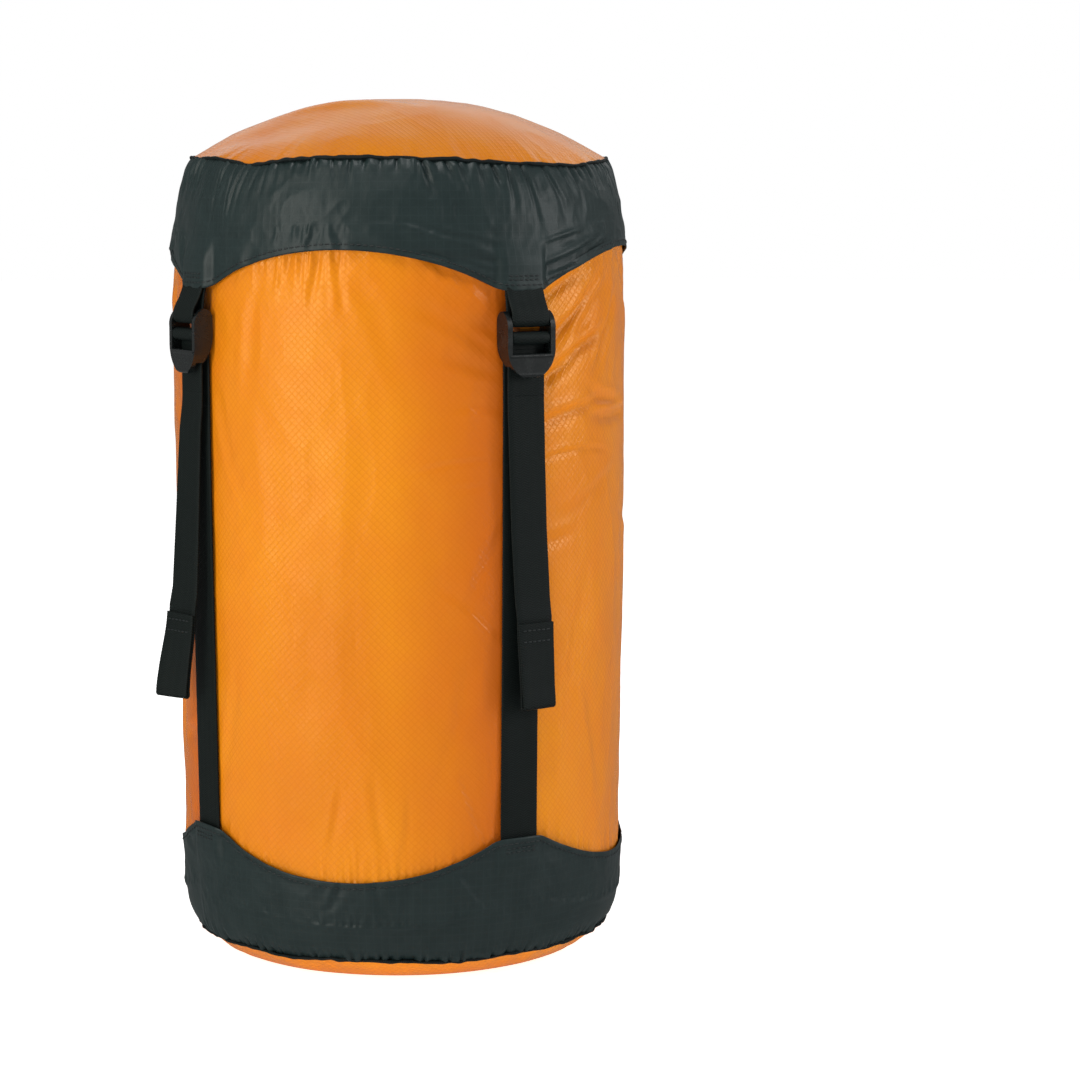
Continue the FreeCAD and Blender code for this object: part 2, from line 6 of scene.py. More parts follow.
import bpy
import numpy as np
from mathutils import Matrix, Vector


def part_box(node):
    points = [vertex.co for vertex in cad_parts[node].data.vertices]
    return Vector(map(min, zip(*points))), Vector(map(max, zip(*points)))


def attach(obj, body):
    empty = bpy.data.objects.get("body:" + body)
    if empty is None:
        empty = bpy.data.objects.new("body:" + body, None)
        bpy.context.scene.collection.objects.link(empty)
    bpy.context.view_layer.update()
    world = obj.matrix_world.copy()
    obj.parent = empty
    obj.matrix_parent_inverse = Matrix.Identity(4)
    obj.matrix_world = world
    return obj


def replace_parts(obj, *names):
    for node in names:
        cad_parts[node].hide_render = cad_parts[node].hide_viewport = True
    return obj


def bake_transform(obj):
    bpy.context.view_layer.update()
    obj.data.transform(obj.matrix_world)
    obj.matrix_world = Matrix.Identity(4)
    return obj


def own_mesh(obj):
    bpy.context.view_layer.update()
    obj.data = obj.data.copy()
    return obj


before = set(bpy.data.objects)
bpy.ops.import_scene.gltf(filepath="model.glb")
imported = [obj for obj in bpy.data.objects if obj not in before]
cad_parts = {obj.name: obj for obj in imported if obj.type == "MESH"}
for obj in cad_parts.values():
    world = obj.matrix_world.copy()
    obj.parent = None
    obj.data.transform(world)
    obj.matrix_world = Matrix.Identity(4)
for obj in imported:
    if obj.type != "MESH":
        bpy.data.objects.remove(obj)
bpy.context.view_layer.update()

# Sizes are in millimetres and angles in degrees, and put() turns them into metres.
MM = 0.001
CORNERS = {"front_right": -45, "back_right": 45, "back_left": 135, "front_left": 225}
GIRTH = 110.0             # radius at which distances round the sack are measured
WAIST = 2 * math.pi * GIRTH

SEAM_RADIUS = 100.4
LID_SEAM = 385.0
BASE_SEAM = 11.0
CROWN = 415.0
LID_TIP = 325.5           # height of the lid ring's lowest edge, at a strap
BASE_TIP = 69.0
TIP_HALF = 11.5           # half the width of a tip's flat end
ARCH_RADIUS = 157.5
HEM = 3.4                 # height of the folded hem band
CLOTH = 0.25              # half the thickness that a cut edge shows

WEB_WIDTH = 20.0
WEB_THICK = 1.3
BAR_RADIUS = 115.6
BAR_LEVEL = 312.0
WALL_FOOT = 12.0
WALL_TOP = 366.0
FULL_TRAVEL = 190.0       # how far the mouth comes down at full compress
WALL_KEEP = 0.463         # the share of its height that the wall keeps there
TALLEST_FOLD = 1.6        # where ridges in the wall level off
STRAP_DENT = 1.25         # how far a strap presses into the wall
RING_GAP = 0.9            # how far the rings stay outside the wall
LID_SEED = 61
BASE_SEED = 71

# The line of the lid's ring from its seam down, as radius and height.
LID_LINE = [(100.4, 385), (103.2, 380.5), (106.4, 371), (108.4, 360), (109.5, 350), (110.0, 341),
            (110.2, 318)]
# The same up from the base's seam, and the wall's from its foot to its top.
BASE_LINE = [(100.4, 11), (103.6, 16), (106.0, 25), (107.4, 38), (108.0, 52), (108.3, 78)]
WALL_LINE = [(99.6, 12), (103.0, 19), (105.2, 28), (106.5, 40), (107.1, 54), (107.4, 75), (108.1, 118),
             (109.5, 218), (110.0, 300), (109.4, 325), (108.4, 346), (106.6, 362), (105.6, 366)]


# ---------------- small maths

def smooth(x):
    """0 below 0, 1 above 1, and a gentle step between."""
    x = np.clip(x, 0, 1)
    return x * x * (3 - 2 * x)


def noise(u, v, seed, turns=256):
    """A smooth random field from -1 to 1, one bump per unit, that repeats after turns bumps along u."""
    table = np.random.default_rng(seed).uniform(-1, 1, (256, 256))
    u, v = np.broadcast_arrays(np.asarray(u, float), np.asarray(v, float))
    iu, iv = np.floor(u).astype(int), np.floor(v).astype(int)
    su, sv = smooth(u - iu), smooth(v - iv)
    low = table[iu % turns, iv % 256] * (1 - su) + table[(iu + 1) % turns, iv % 256] * su
    high = table[iu % turns, (iv + 1) % 256] * (1 - su) + table[(iu + 1) % turns, (iv + 1) % 256] * su
    return low * (1 - sv) + high * sv


def creases(u, v, seed, turns=256):
    """Sharp-topped wandering creases, about 0 on average."""
    return 0.5 - np.abs(noise(u, v, seed, turns)) * 2


def wrapped(x, whole):
    """x brought to within half a turn of 0."""
    return (x + whole / 2) % whole - whole / 2


def from_station(angle):
    """Degrees from an angle to the nearest strap."""
    return np.abs(wrapped(np.asarray(angle, float) - 45, 90))


def arch(angle):
    """How far the arched edge between two straps rises above its tips."""
    middle = np.radians(45 - from_station(angle)) * GIRTH
    half = np.radians(45) * GIRTH - TIP_HALF
    inside = half - np.log1p(np.exp((half - middle) / 1.5)) * 1.5
    return np.sqrt(ARCH_RADIUS**2 - inside**2) - math.sqrt(ARCH_RADIUS**2 - half**2)


def lid_edge(angle):
    return LID_TIP + arch(angle)


def base_edge(angle):
    return BASE_TIP - arch(angle)


def curve(points, samples):
    """A smooth line through a few points, with this many samples from each point to the next."""
    p = np.array(points, float)
    ends = np.vstack([2 * p[0] - p[1], p, 2 * p[-1] - p[-2]])
    t = np.linspace(0, 1, samples)[:, None]
    runs = []
    for a, b, c, d in zip(ends, ends[1:], ends[2:], ends[3:]):
        runs.append(0.5 * (2 * b + (c - a) * t + (2 * a - 5 * b + 4 * c - d) * t**2
                           + (3 * b - a - 3 * c + d) * t**3)[:-1])
    return np.vstack(runs + [p[-1:]])


class Line:
    """A smooth line in the (radius, height) plane, walked by its length."""

    def __init__(self, points):
        self.p = curve(points, 40)
        step = np.diff(self.p, axis=0)
        self.s = np.concatenate([[0], np.cumsum(np.hypot(*step.T))])
        self.t = np.gradient(self.p, self.s, axis=0)
        self.length = self.s[-1]

    def at(self, s):
        """Radius and height at a length, and the direction along the line there."""
        return [np.interp(s, self.s, column) for column in (*self.p.T, *self.t.T)]

    def length_to(self, height):
        """The length at which the line reaches a height."""
        z = self.p[:, 1]
        if z[0] > z[-1]:
            return np.interp(-np.asarray(height, float), -z, self.s)
        return np.interp(height, z, self.s)

    def radius(self, height):
        return np.interp(self.length_to(height), self.s, self.p[:, 0])


LID_OUTLINE = Line(LID_LINE)
BASE_OUTLINE = Line(BASE_LINE)
WALL_OUTLINE = Line(WALL_LINE)


def place(line, angle, s, out):
    """Points at an angle and a length along a line, moved out along its normal."""
    r, z, tr, tz = line.at(s)
    side = 1 if line.p[-1, 1] > line.p[0, 1] else -1
    r = r + out * tz * side
    z = z - out * tr * side
    turn = np.radians(angle)
    return np.stack([r * np.cos(turn), r * np.sin(turn), z], -1)


# ---------------- meshes

def put(name, points, faces, material, cloth=None, soft=True):
    """A mesh piece from points in millimetres. cloth holds each point's place on the flat cloth."""
    mesh = bpy.data.meshes.new(name)
    points = np.asarray(points, float).reshape(-1, 3)
    mesh.from_pydata((points * MM).tolist(), [], faces if isinstance(faces, list) else faces.tolist())
    if cloth is not None:
        held = mesh.attributes.new("cloth", "FLOAT_VECTOR", "POINT")
        flat = np.zeros((len(points), 3), np.float32)
        flat[:, : np.shape(cloth)[-1]] = np.asarray(cloth, float).reshape(len(points), -1)
        held.data.foreach_set("vector", flat.ravel())
    mesh.polygons.foreach_set("use_smooth", [soft] * len(mesh.polygons))
    mesh.materials.append(material)
    mesh.update()
    made = bpy.data.objects.new(name, mesh)
    bpy.context.scene.collection.objects.link(made)
    return made


def grid(rows, columns, closed=False, flip=False):
    """Quads over rows x columns points. closed joins each row's end to its start."""
    i, j = np.meshgrid(np.arange(rows - 1), np.arange(columns if closed else columns - 1), indexing="ij")
    k = (j + 1) % columns
    quads = np.stack([i * columns + j, i * columns + k, (i + 1) * columns + k, (i + 1) * columns + j], -1)
    quads = quads.reshape(-1, 4)
    return quads[:, ::-1] if flip else quads


def capsules(starts, ends, outward, radius, flat=0.7):
    """Small round-ended stitches from starts to ends, as points and faces."""
    sides = 6
    along_shape = [(0.0, 0.0), (0.06, 0.7), (0.25, 1.0), (0.75, 1.0), (0.94, 0.7), (1.0, 0.0)]
    turn = np.arange(sides) / sides * 2 * math.pi
    points, faces = [], []
    for a, b, n in zip(starts, ends, outward):
        across = np.cross(b - a, n)
        across = across / np.linalg.norm(across)
        first = len(points) * sides
        for share, girth in along_shape:
            middle = a + (b - a) * share
            points.append(middle + radius * girth * (np.cos(turn)[:, None] * across
                                                     + flat * np.sin(turn)[:, None] * n))
        faces.append(grid(len(along_shape), sides, closed=True) + first)
    return np.vstack(points), np.vstack(faces)


def stitch_line(points, outward, pitch=3.0, share=0.72, radius=0.33):
    """Stitches end to end along a line of points, as points and faces."""
    steps = np.linalg.norm(np.diff(points, axis=0), axis=1)
    s = np.concatenate([[0], np.cumsum(steps)])
    count = max(1, round(s[-1] / pitch))
    begin = np.arange(count) * s[-1] / count
    finish = begin + s[-1] / count * share

    def at(where, values):
        return np.stack([np.interp(where, s, values[:, k]) for k in range(3)], -1)

    return capsules(at(begin, points), at(finish, points), at(begin, outward), radius)


def joined(parts):
    """Several (points, faces) as one."""
    points, faces, first = [], [], 0
    for p, f in parts:
        points.append(p)
        faces.append(f + first)
        first += len(p)
    return np.vstack(points), np.vstack(faces)


def sewn(name, rows):
    """Rows of stitches as one piece of thread."""
    points, faces = joined(rows)
    return put(name, points, faces, THREAD)


# ---------------- materials

def colour(r, g, b):
    """A display colour of 0 to 255 as a linear one."""
    return [((c / 255 + 0.055) / 1.055) ** 2.4 if c > 10 else c / 255 / 12.92 for c in (r, g, b)] + [1]


class Shader:
    """A material whose nodes are added one line at a time."""

    def __init__(self, name, **sockets):
        self.material = bpy.data.materials.new(name)
        self.material.use_nodes = True
        self.nodes = self.material.node_tree.nodes
        self.links = self.material.node_tree.links
        self.surface = self.nodes["Principled BSDF"]
        for socket, value in sockets.items():
            self.surface.inputs[socket.replace("_", " ")].default_value = value

    def feed(self, socket, value):
        if isinstance(value, bpy.types.NodeSocket):
            self.links.new(value, socket)
        else:
            socket.default_value = value

    def math(self, operation, *values, clamp=False):
        node = self.nodes.new("ShaderNodeMath")
        node.operation = operation
        node.use_clamp = clamp
        for socket, value in zip(node.inputs, values):
            self.feed(socket, value)
        return node.outputs[0]

    def times(self, a, b):
        return self.math("MULTIPLY", a, b)

    def paint(self, tone):
        self.feed(self.surface.inputs["Base Color"], tone)

    def roughen(self, roughness):
        self.feed(self.surface.inputs["Roughness"], roughness)

    def mix(self, share, a, b):
        node = self.nodes.new("ShaderNodeMix")
        node.data_type = "RGBA"
        self.feed(node.inputs["Factor"], share)
        self.feed(node.inputs["A"], a)
        self.feed(node.inputs["B"], b)
        return node.outputs["Result"]

    def cloth(self):
        """The place on the flat cloth in millimetres, as x, y and z."""
        read = self.nodes.new("ShaderNodeAttribute")
        read.attribute_name = "cloth"
        parts = self.nodes.new("ShaderNodeSeparateXYZ")
        self.links.new(read.outputs["Vector"], parts.inputs[0])
        return read.outputs["Vector"], *parts.outputs[:3]

    def spot(self):
        """The place on the object itself."""
        return self.nodes.new("ShaderNodeTexCoord").outputs["Object"]

    def noise(self, where, scale, detail=2.0, stretch=None):
        if stretch:
            node = self.nodes.new("ShaderNodeMapping")
            self.feed(node.inputs["Vector"], where)
            node.inputs["Scale"].default_value = stretch
            where = node.outputs[0]
        node = self.nodes.new("ShaderNodeTexNoise")
        self.feed(node.inputs["Vector"], where)
        node.inputs["Scale"].default_value = scale
        node.inputs["Detail"].default_value = detail
        return node.outputs["Fac"]

    def line(self, place_on, pitch, half):
        """1 on thin lines a pitch apart, 0 between them."""
        part = self.math("FRACT", self.math("DIVIDE", place_on, pitch))
        near = self.math("ABSOLUTE", self.math("SUBTRACT", part, 0.5))
        near = self.math("SUBTRACT", 0.5, near)
        return self.math("SUBTRACT", 1.0, self.math("DIVIDE", near, half / pitch), clamp=True)

    def wave(self, place_on, pitch):
        """A wave of one bump per pitch, from 0 to 1."""
        turn = self.math("MULTIPLY", place_on, 2 * math.pi / pitch)
        return self.math("MULTIPLY_ADD", self.math("SINE", turn), 0.5, 0.5)

    def weave(self, first, second, share, strength, depth):
        """Relief from two patterns, the first of them by its share."""
        self.bump(self.math("ADD", self.times(first, share), self.times(second, 1 - share)), strength, depth)

    def bump(self, height, strength, depth):
        node = self.nodes.new("ShaderNodeBump")
        node.inputs["Strength"].default_value = strength
        node.inputs["Distance"].default_value = depth * MM
        self.feed(node.inputs["Height"], height)
        self.links.new(node.outputs[0], self.surface.inputs["Normal"])


def ripstop_orange(name="orange_ripstop", paint_strap_shade=False):
    """Thin glossy nylon with a fine diamond grid; on request, painted shade darkens and reddens its colour
    to one side of each strap.
    """
    s = Shader(name, Roughness=0.3, Specular_IOR_Level=0.5, Specular_Tint=(1.0, 0.7, 0.38, 1.0))
    flat, x, y, _ = s.cloth()
    down = s.times(s.math("ADD", x, y), 0.7071)
    up = s.times(s.math("SUBTRACT", x, y), 0.7071)
    lines = s.math("MAXIMUM", s.line(down, 2.4, 0.36), s.line(up, 2.4, 0.36))
    threads = s.times(s.wave(x, 0.34), s.wave(y, 0.34))
    broad = s.noise(flat, 0.014, 2.0, (1.0, 0.5, 1.0))
    cloudy = s.noise(flat, 0.05, 3.0)
    pale = s.math("MULTIPLY_ADD", broad, 1.8, -0.45, clamp=True)
    tone = s.mix(pale, colour(199, 111, 16), colour(217, 133, 18))
    ruddy = s.math("MULTIPLY_ADD", cloudy, 0.9, -0.35, clamp=True)
    tone = s.mix(ruddy, tone, colour(208, 108, 16))
    # Painted shade: the colour turns darker and redder beside one side of each strap, standing in for the
    # shade there.
    if paint_strap_shade:
        side = s.math("FRACT", s.math("DIVIDE", x, WAIST / 4))
        strap_shade = s.math("MULTIPLY_ADD", side, 3.0, -0.4, clamp=True)
        strap_shade = s.times(strap_shade, s.math("LESS_THAN", side, 0.5))
        tone = s.mix(s.times(strap_shade, 0.75), tone, colour(172, 68, 16))
    tone = s.mix(s.times(lines, 0.24), tone, colour(184, 90, 12))
    s.paint(tone)
    s.roughen(s.math("MULTIPLY_ADD", cloudy, 0.12, 0.18))
    s.weave(lines, threads, 0.85, 0.9, 0.1)
    return s.material


def ripstop_black():
    """Dark slate ripstop with a fine square grid and a dull sheen."""
    s = Shader("slate_ripstop", Roughness=0.45, Specular_IOR_Level=0.25)
    flat, x, y, _ = s.cloth()
    grid_lines = s.math("MAXIMUM", s.line(x, 3.8, 0.38), s.line(y, 3.8, 0.38))
    threads = s.times(s.wave(x, 0.4), s.wave(y, 0.4))
    cloudy = s.noise(flat, 0.09, 4.0)
    tone = s.mix(cloudy, colour(23, 34, 34), colour(33, 45, 45))
    tone = s.mix(s.times(grid_lines, 0.16), tone, colour(46, 58, 59))
    s.paint(tone)
    s.roughen(s.math("MULTIPLY_ADD", cloudy, 0.12, 0.36))
    s.weave(grid_lines, threads, 0.6, 0.4, 0.07)
    return s.material


def webbing_weave(name="webbing", tint=(9, 15, 14)):
    """Dark woven tape: ribs across it and a zigzag along its middle."""
    s = Shader(name, Roughness=0.6, Specular_IOR_Level=0.18)
    flat, x, y, _ = s.cloth()
    zigzag = s.times(s.math("PINGPONG", x, 2.4), 0.55)
    ribs = s.wave(s.math("ADD", y, zigzag), 1.15)
    strands = s.wave(x, 0.95)
    fuzz = s.noise(flat, 1.6, 3.0)
    dark = [c * 0.55 for c in tint]
    light = [c * 1.9 for c in tint]
    s.paint(s.mix(s.times(ribs, s.math("MULTIPLY_ADD", fuzz, 0.6, 0.5)), colour(*dark), colour(*light)))
    s.weave(ribs, strands, 0.7, 0.6, 0.18)
    return s.material


def sewing_thread():
    """Twisted dark thread."""
    s = Shader("thread", Roughness=0.55)
    wobble = s.noise(s.spot(), 900.0, 2.0)
    s.paint(s.mix(wobble, colour(10, 14, 14), colour(30, 38, 39)))
    s.bump(wobble, 0.5, 0.1)
    return s.material


def moulded_plastic():
    """Satin black acetal with a fine moulded grain and slightly rubbed patches."""
    s = Shader("buckle_plastic", Roughness=0.22, Specular_IOR_Level=0.6)
    grain = s.noise(s.spot(), 2600.0, 2.0)
    rubbed = s.noise(s.spot(), 160.0, 3.0)
    s.paint(s.mix(rubbed, colour(9, 13, 13), colour(16, 21, 21)))
    s.roughen(s.math("MULTIPLY_ADD", rubbed, 0.16, 0.18))
    s.bump(grain, 0.25, 0.06)
    return s.material


def braided_cord():
    """Dark round braid."""
    s = Shader("cord", Roughness=0.6, Sheen_Weight=0.2)
    weave = s.nodes.new("ShaderNodeTexVoronoi")
    s.feed(weave.inputs["Vector"], s.spot())
    weave.inputs["Scale"].default_value = 1400.0
    s.paint(s.mix(weave.outputs["Distance"], colour(60, 64, 66), colour(18, 20, 21)))
    s.bump(weave.outputs["Distance"], 0.6, 0.3)
    return s.material


def drawn_wire():
    """Bright drawn steel."""
    s = Shader("spring_steel", Metallic=1.0, Roughness=0.3)
    streaks = s.noise(s.spot(), 900.0, 2.0, (1.0, 1.0, 6.0))
    s.paint(s.mix(streaks, colour(170, 170, 174), colour(205, 205, 208)))
    s.roughen(s.math("MULTIPLY_ADD", streaks, 0.2, 0.22))
    return s.material


def woven_label():
    """A plain dark woven label with a fine satin rib."""
    s = Shader("label", Roughness=0.5, Sheen_Weight=0.2)
    flat, _, y, _ = s.cloth()
    ribs = s.wave(y, 0.3)
    tone = s.mix(s.noise(flat, 0.7, 2.0), colour(22, 26, 28), colour(40, 46, 48))
    s.paint(s.mix(s.times(ribs, 0.3), tone, colour(64, 72, 74)))
    s.bump(ribs, 0.5, 0.08)
    return s.material


def lit_backdrop():
    """An evenly lit white."""
    s = Shader("white_backdrop", Base_Color=(0, 0, 0, 1), Roughness=1.0, Specular_IOR_Level=0.0,
               Emission_Color=(1, 1, 1, 1), Emission_Strength=1.0)
    return s.material


def studio_floor():
    """A pale matt floor with the faintest mottling."""
    s = Shader("pale_floor", Roughness=0.9, Emission_Color=(1, 1, 1, 1), Emission_Strength=0.85)
    s.paint(s.mix(s.noise(s.spot(), 3.0, 2.0), colour(250, 250, 250), colour(255, 255, 255)))
    return s.material


ORANGE = ripstop_orange()
# The wall's orange, with painted shade beside one side of each strap.
WALL_ORANGE_SHADED = ripstop_orange("orange_wall_shaded", paint_strap_shade=True)
SLATE = ripstop_black()
WEBBING = webbing_weave()
BINDING = webbing_weave("binding", (14, 19, 19))
THREAD = sewing_thread()
PLASTIC = moulded_plastic()
CORD = braided_cord()
STEEL = drawn_wire()
LABEL = woven_label()


# ---------------- folds

def folds(a, s, marks, sign=1):
    """Pinched grooves with soft shoulders added up, or ridges where sign is -1.

    a runs round the sack and s away from an edge. A mark is place, length, width, depth and slant.
    """
    total = np.zeros(np.broadcast(a, s).shape)
    for spot, length, width, depth, slant in marks:
        run = s / length
        across = wrapped(a - spot - slant * s, WAIST)
        wide = width * (0.7 + 0.6 * np.clip(run, 0, 1))
        near = np.abs(across) < 4 * wide
        fade = smooth(run / 0.08 + 0.6) * (1 - smooth(run)) * near
        ratio = (across / wide) ** 2
        total += depth * fade * (0.6 * np.exp(-ratio / 9) - np.exp(-ratio)) * sign
    return total


def scattered(seed, zones):
    """Marks for folds(), over zones of (from, to, spacing, shortest, longest, width, depth, slant)."""
    rng = np.random.default_rng(seed)
    marks = []
    for first, last, spacing, shortest, longest, width, depth, slant in zones:
        spot = np.radians(first) * GIRTH
        while spot < np.radians(last) * GIRTH:
            marks.append((spot, rng.uniform(shortest, longest), width * rng.uniform(0.7, 1.35),
                          depth * rng.uniform(0.45, 1.25), slant * rng.uniform(-0.3, 1.2)))
            spot += spacing * rng.uniform(0.55, 1.5)
    return marks


LID_GATHERS = scattered(11, [
    (-135, -109, 6.5, 22, 52, 1.1, 1.2, -0.22),
    (-109, -92, 6.4, 8, 18, 1.2, 2.1, 0.10),
    (-92, -70, 8.5, 6, 18, 1.1, 1.5, 0.06),
    (-70, -24, 9.5, 16, 42, 1.8, 3.2, 0.34),
    (-24, 60, 8.6, 8, 36, 1.5, 2.0, 0.14),
    (60, 225, 8.2, 8, 40, 1.5, 2.0, -0.14),
])
BASE_GATHERS = scattered(12, [
    (-135, -60, 8.0, 7, 26, 1.2, 1.6, 0.12),
    (-60, 225, 8.2, 7, 28, 1.2, 1.6, -0.10),
])
LID_PUCKERS = scattered(13, [
    (-135, -110, 7.0, 8, 18, 1.8, 0.45, 0.0),
    (-110, -88, 4.6, 12, 30, 1.5, 1.0, -0.08),
    (-88, -50, 8.0, 8, 20, 2.0, 0.4, 0.0),
    (-45, 10, 9.0, 8, 22, 2.2, 0.5, 0.2),
    (10, 225, 6.5, 8, 28, 1.9, 0.7, 0.05),
])
BASE_PUCKERS = scattered(14, [
    (-135, -96, 8.0, 8, 18, 2.0, 0.4, 0.1),
    (-96, -52, 4.6, 10, 30, 1.6, 0.85, -0.05),
    (-52, 225, 6.5, 8, 26, 1.9, 0.65, 0.05),
])

# Long soft folds in the wall: (angle, height, length, width, depth, lean from upright in degrees).
WALL_FOLDS = [
    (-38, 326, 44, 2.4, 2.6, 60), (-33, 312, 62, 3.0, 3.6, 57), (-29, 299, 52, 2.6, 3.1, 64),
    (-37, 288, 34, 2.2, 1.7, 72), (-22, 318, 40, 2.6, 1.8, 48), (-14, 306, 44, 2.8, 1.8, 35),
    (-30, 272, 56, 2.4, 2.2, 78), (-12, 277, 40, 2.6, 1.6, 102), (-26, 252, 60, 1.2, 0.8, 88),
    (-8, 268, 44, 2.6, 2.4, 90), (-20, 234, 44, 3.0, 1.0, 66), (-36, 212, 40, 2.6, 0.9, 80),
    (-52, 302, 30, 2.4, 1.2, -68), (-55, 320, 40, 3.0, 1.0, -56), (-58, 286, 34, 2.6, 0.9, -74),
    (-54, 268, 28, 2.0, 0.7, -84), (-60, 249, 50, 1.2, 0.5, 86), (-56, 238, 30, 1.5, 0.4, 82),
    (-70, 338, 34, 2.4, 0.9, -50), (-64, 305, 40, 3.2, 1.0, -62),
    (-98, 334, 28, 1.8, 0.9, 10), (-92, 332, 32, 2.0, 0.8, -8), (-106, 336, 24, 1.8, 0.8, 16),
    (-82, 300, 60, 4.0, 0.7, -22), (-118, 300, 70, 3.6, 0.7, 8), (-112, 236, 90, 4.4, 0.5, -6),
    (-90, 210, 110, 5.0, 0.5, 5), (-70, 190, 90, 4.5, 0.5, -10), (-104, 140, 90, 4.4, 0.5, 8),
    (-66, 120, 70, 3.6, 0.6, 16), (-84, 84, 34, 2.2, 0.7, -8), (-76, 78, 30, 2.0, 0.8, 5),
    (-60, 86, 34, 2.2, 0.7, -20), (-94, 80, 28, 2.0, 0.7, 12), (-30, 150, 80, 4.2, 0.8, 10),
    (-20, 110, 60, 3.6, 0.8, -14), (-126, 250, 60, 3.0, 0.7, -20), (-127, 120, 60, 3.0, 0.7, 14),
    (-54, 210, 60, 2.6, 0.7, 30), (-56, 170, 50, 2.4, 0.6, -50),
]


def wall_folds(angle, z):
    """Soft creases that run across the wall, each a ridge beside a hollow."""
    total = np.zeros(np.broadcast(angle, z).shape)
    rng = np.random.default_rng(29)
    others = [(rng.uniform(0, 220), rng.uniform(80, 330), rng.uniform(30, 80), rng.uniform(2.4, 4.4),
               rng.uniform(0.5, 1.5), rng.uniform(-85, 85)) for _ in range(46)]
    for k, (at, level, length, width, depth, lean) in enumerate(WALL_FOLDS + others):
        bow = 0.006 if k % 2 else -0.006
        across = np.radians(wrapped(angle - at, 360)) * GIRTH
        up = z - level
        turn = math.radians(lean)
        along = across * math.sin(turn) + up * math.cos(turn)
        off = across * math.cos(turn) - up * math.sin(turn) + bow * along**2 / width
        fade = np.exp(-(along / (0.5 * length)) ** 4)
        ridge = 0.55 * np.exp(-(off / width) ** 2)
        hollow = 0.95 * np.exp(-((off - 1.7 * width) / (1.4 * width)) ** 2)
        total += depth * fade * (ridge - hollow)
    return total


# Places where each seam sags: (angle, half width in degrees, depth in millimetres).
SEAM_DIPS = {LID_SEED: [(-118, 10, 3.2), (-28, 27, 3.4), (62, 15, 1.8), (150, 14, 2.0)],
             BASE_SEED: [(-60, 14, 1.2), (-104, 10, 0.8), (30, 20, 1.4), (160, 18, 1.4)]}


def seam_wave(angle, seed):
    """How far a gathered seam wanders up and down."""
    turn = np.asarray(angle) / 360
    sag = sum(depth * np.exp(-(wrapped(angle - at, 360) / wide) ** 2)
              for at, wide, depth in SEAM_DIPS[seed])
    broad = 0.55 * noise(turn * 64, 0.5, seed + 50, 64)
    return 0.9 - sag + broad + 0.3 * noise(turn * 155, 0.5, seed + 51, 155)


def tip_bulge(angle, s_from_edge, height):
    """How far a tip stands out over the webbing sewn under it: height at the most."""
    aside = np.radians(from_station(angle)) * GIRTH
    side = 1 - smooth((aside - WEB_WIDTH / 2 + 1.0) / 6.5)
    depth = 1 - smooth((s_from_edge - 11) / 15)
    return height * side * depth


def seam_pucker(a, s, seed):
    """The small scallops that a gathered seam makes, fading away from it."""
    beat = noise(a / 3.6, np.zeros_like(a), seed, round(WAIST / 3.6))
    return 0.6 * beat * np.exp(-np.abs(s) / 4.0)


# A black ring: its line, the height of its hem, its gathers, its seed and how far its tips bulge.
Ring = namedtuple("Ring", "line hem gathers seed bulge")
LID_RING = Ring(LID_OUTLINE, lid_edge, LID_GATHERS, LID_SEED, 3.2)
BASE_RING = Ring(BASE_OUTLINE, base_edge, BASE_GATHERS, BASE_SEED, 1.9)


def ring_edge(ring, angle):
    """The length from a ring's seam to its hem."""
    return ring.line.length_to(ring.hem(angle))


def ring_relief(ring, angle, s):
    """How far a black ring's cloth stands off its smooth line."""
    a = np.radians(angle) * GIRTH
    away = ring_edge(ring, angle) - s
    seed = ring.seed
    gather = folds(a, s, ring.gathers)
    limp = 0.7 * noise(a / (WAIST / 24), s / 22, seed, 24)
    bend = 0.6 * noise(a / 20, s / 12, seed + 1)
    crinkle = 0.3 * creases(a / (WAIST / 72) + bend, s / 13, seed + 2, 72)
    crinkle = crinkle + 0.16 * creases((a + 0.9 * s) / 9.0, (s - 0.9 * a) / 17.0, seed + 3)
    crinkle = crinkle + 0.07 * creases(a / (WAIST / 200), s / 6, seed + 5, 200)
    hem = 0.32 * smooth((HEM - away) / 0.7)
    ripple = 0.22 * noise(a / (WAIST / 130), away / 9, seed + 4, 130) * np.exp(-np.abs(away) / 6)
    calm = 1 - 0.75 * tip_bulge(angle, away, 1.0)
    cloth = (gather + limp + crinkle) * calm + seam_pucker(a, s, seed) + hem + ripple
    return cloth + tip_bulge(angle, away, ring.bulge)


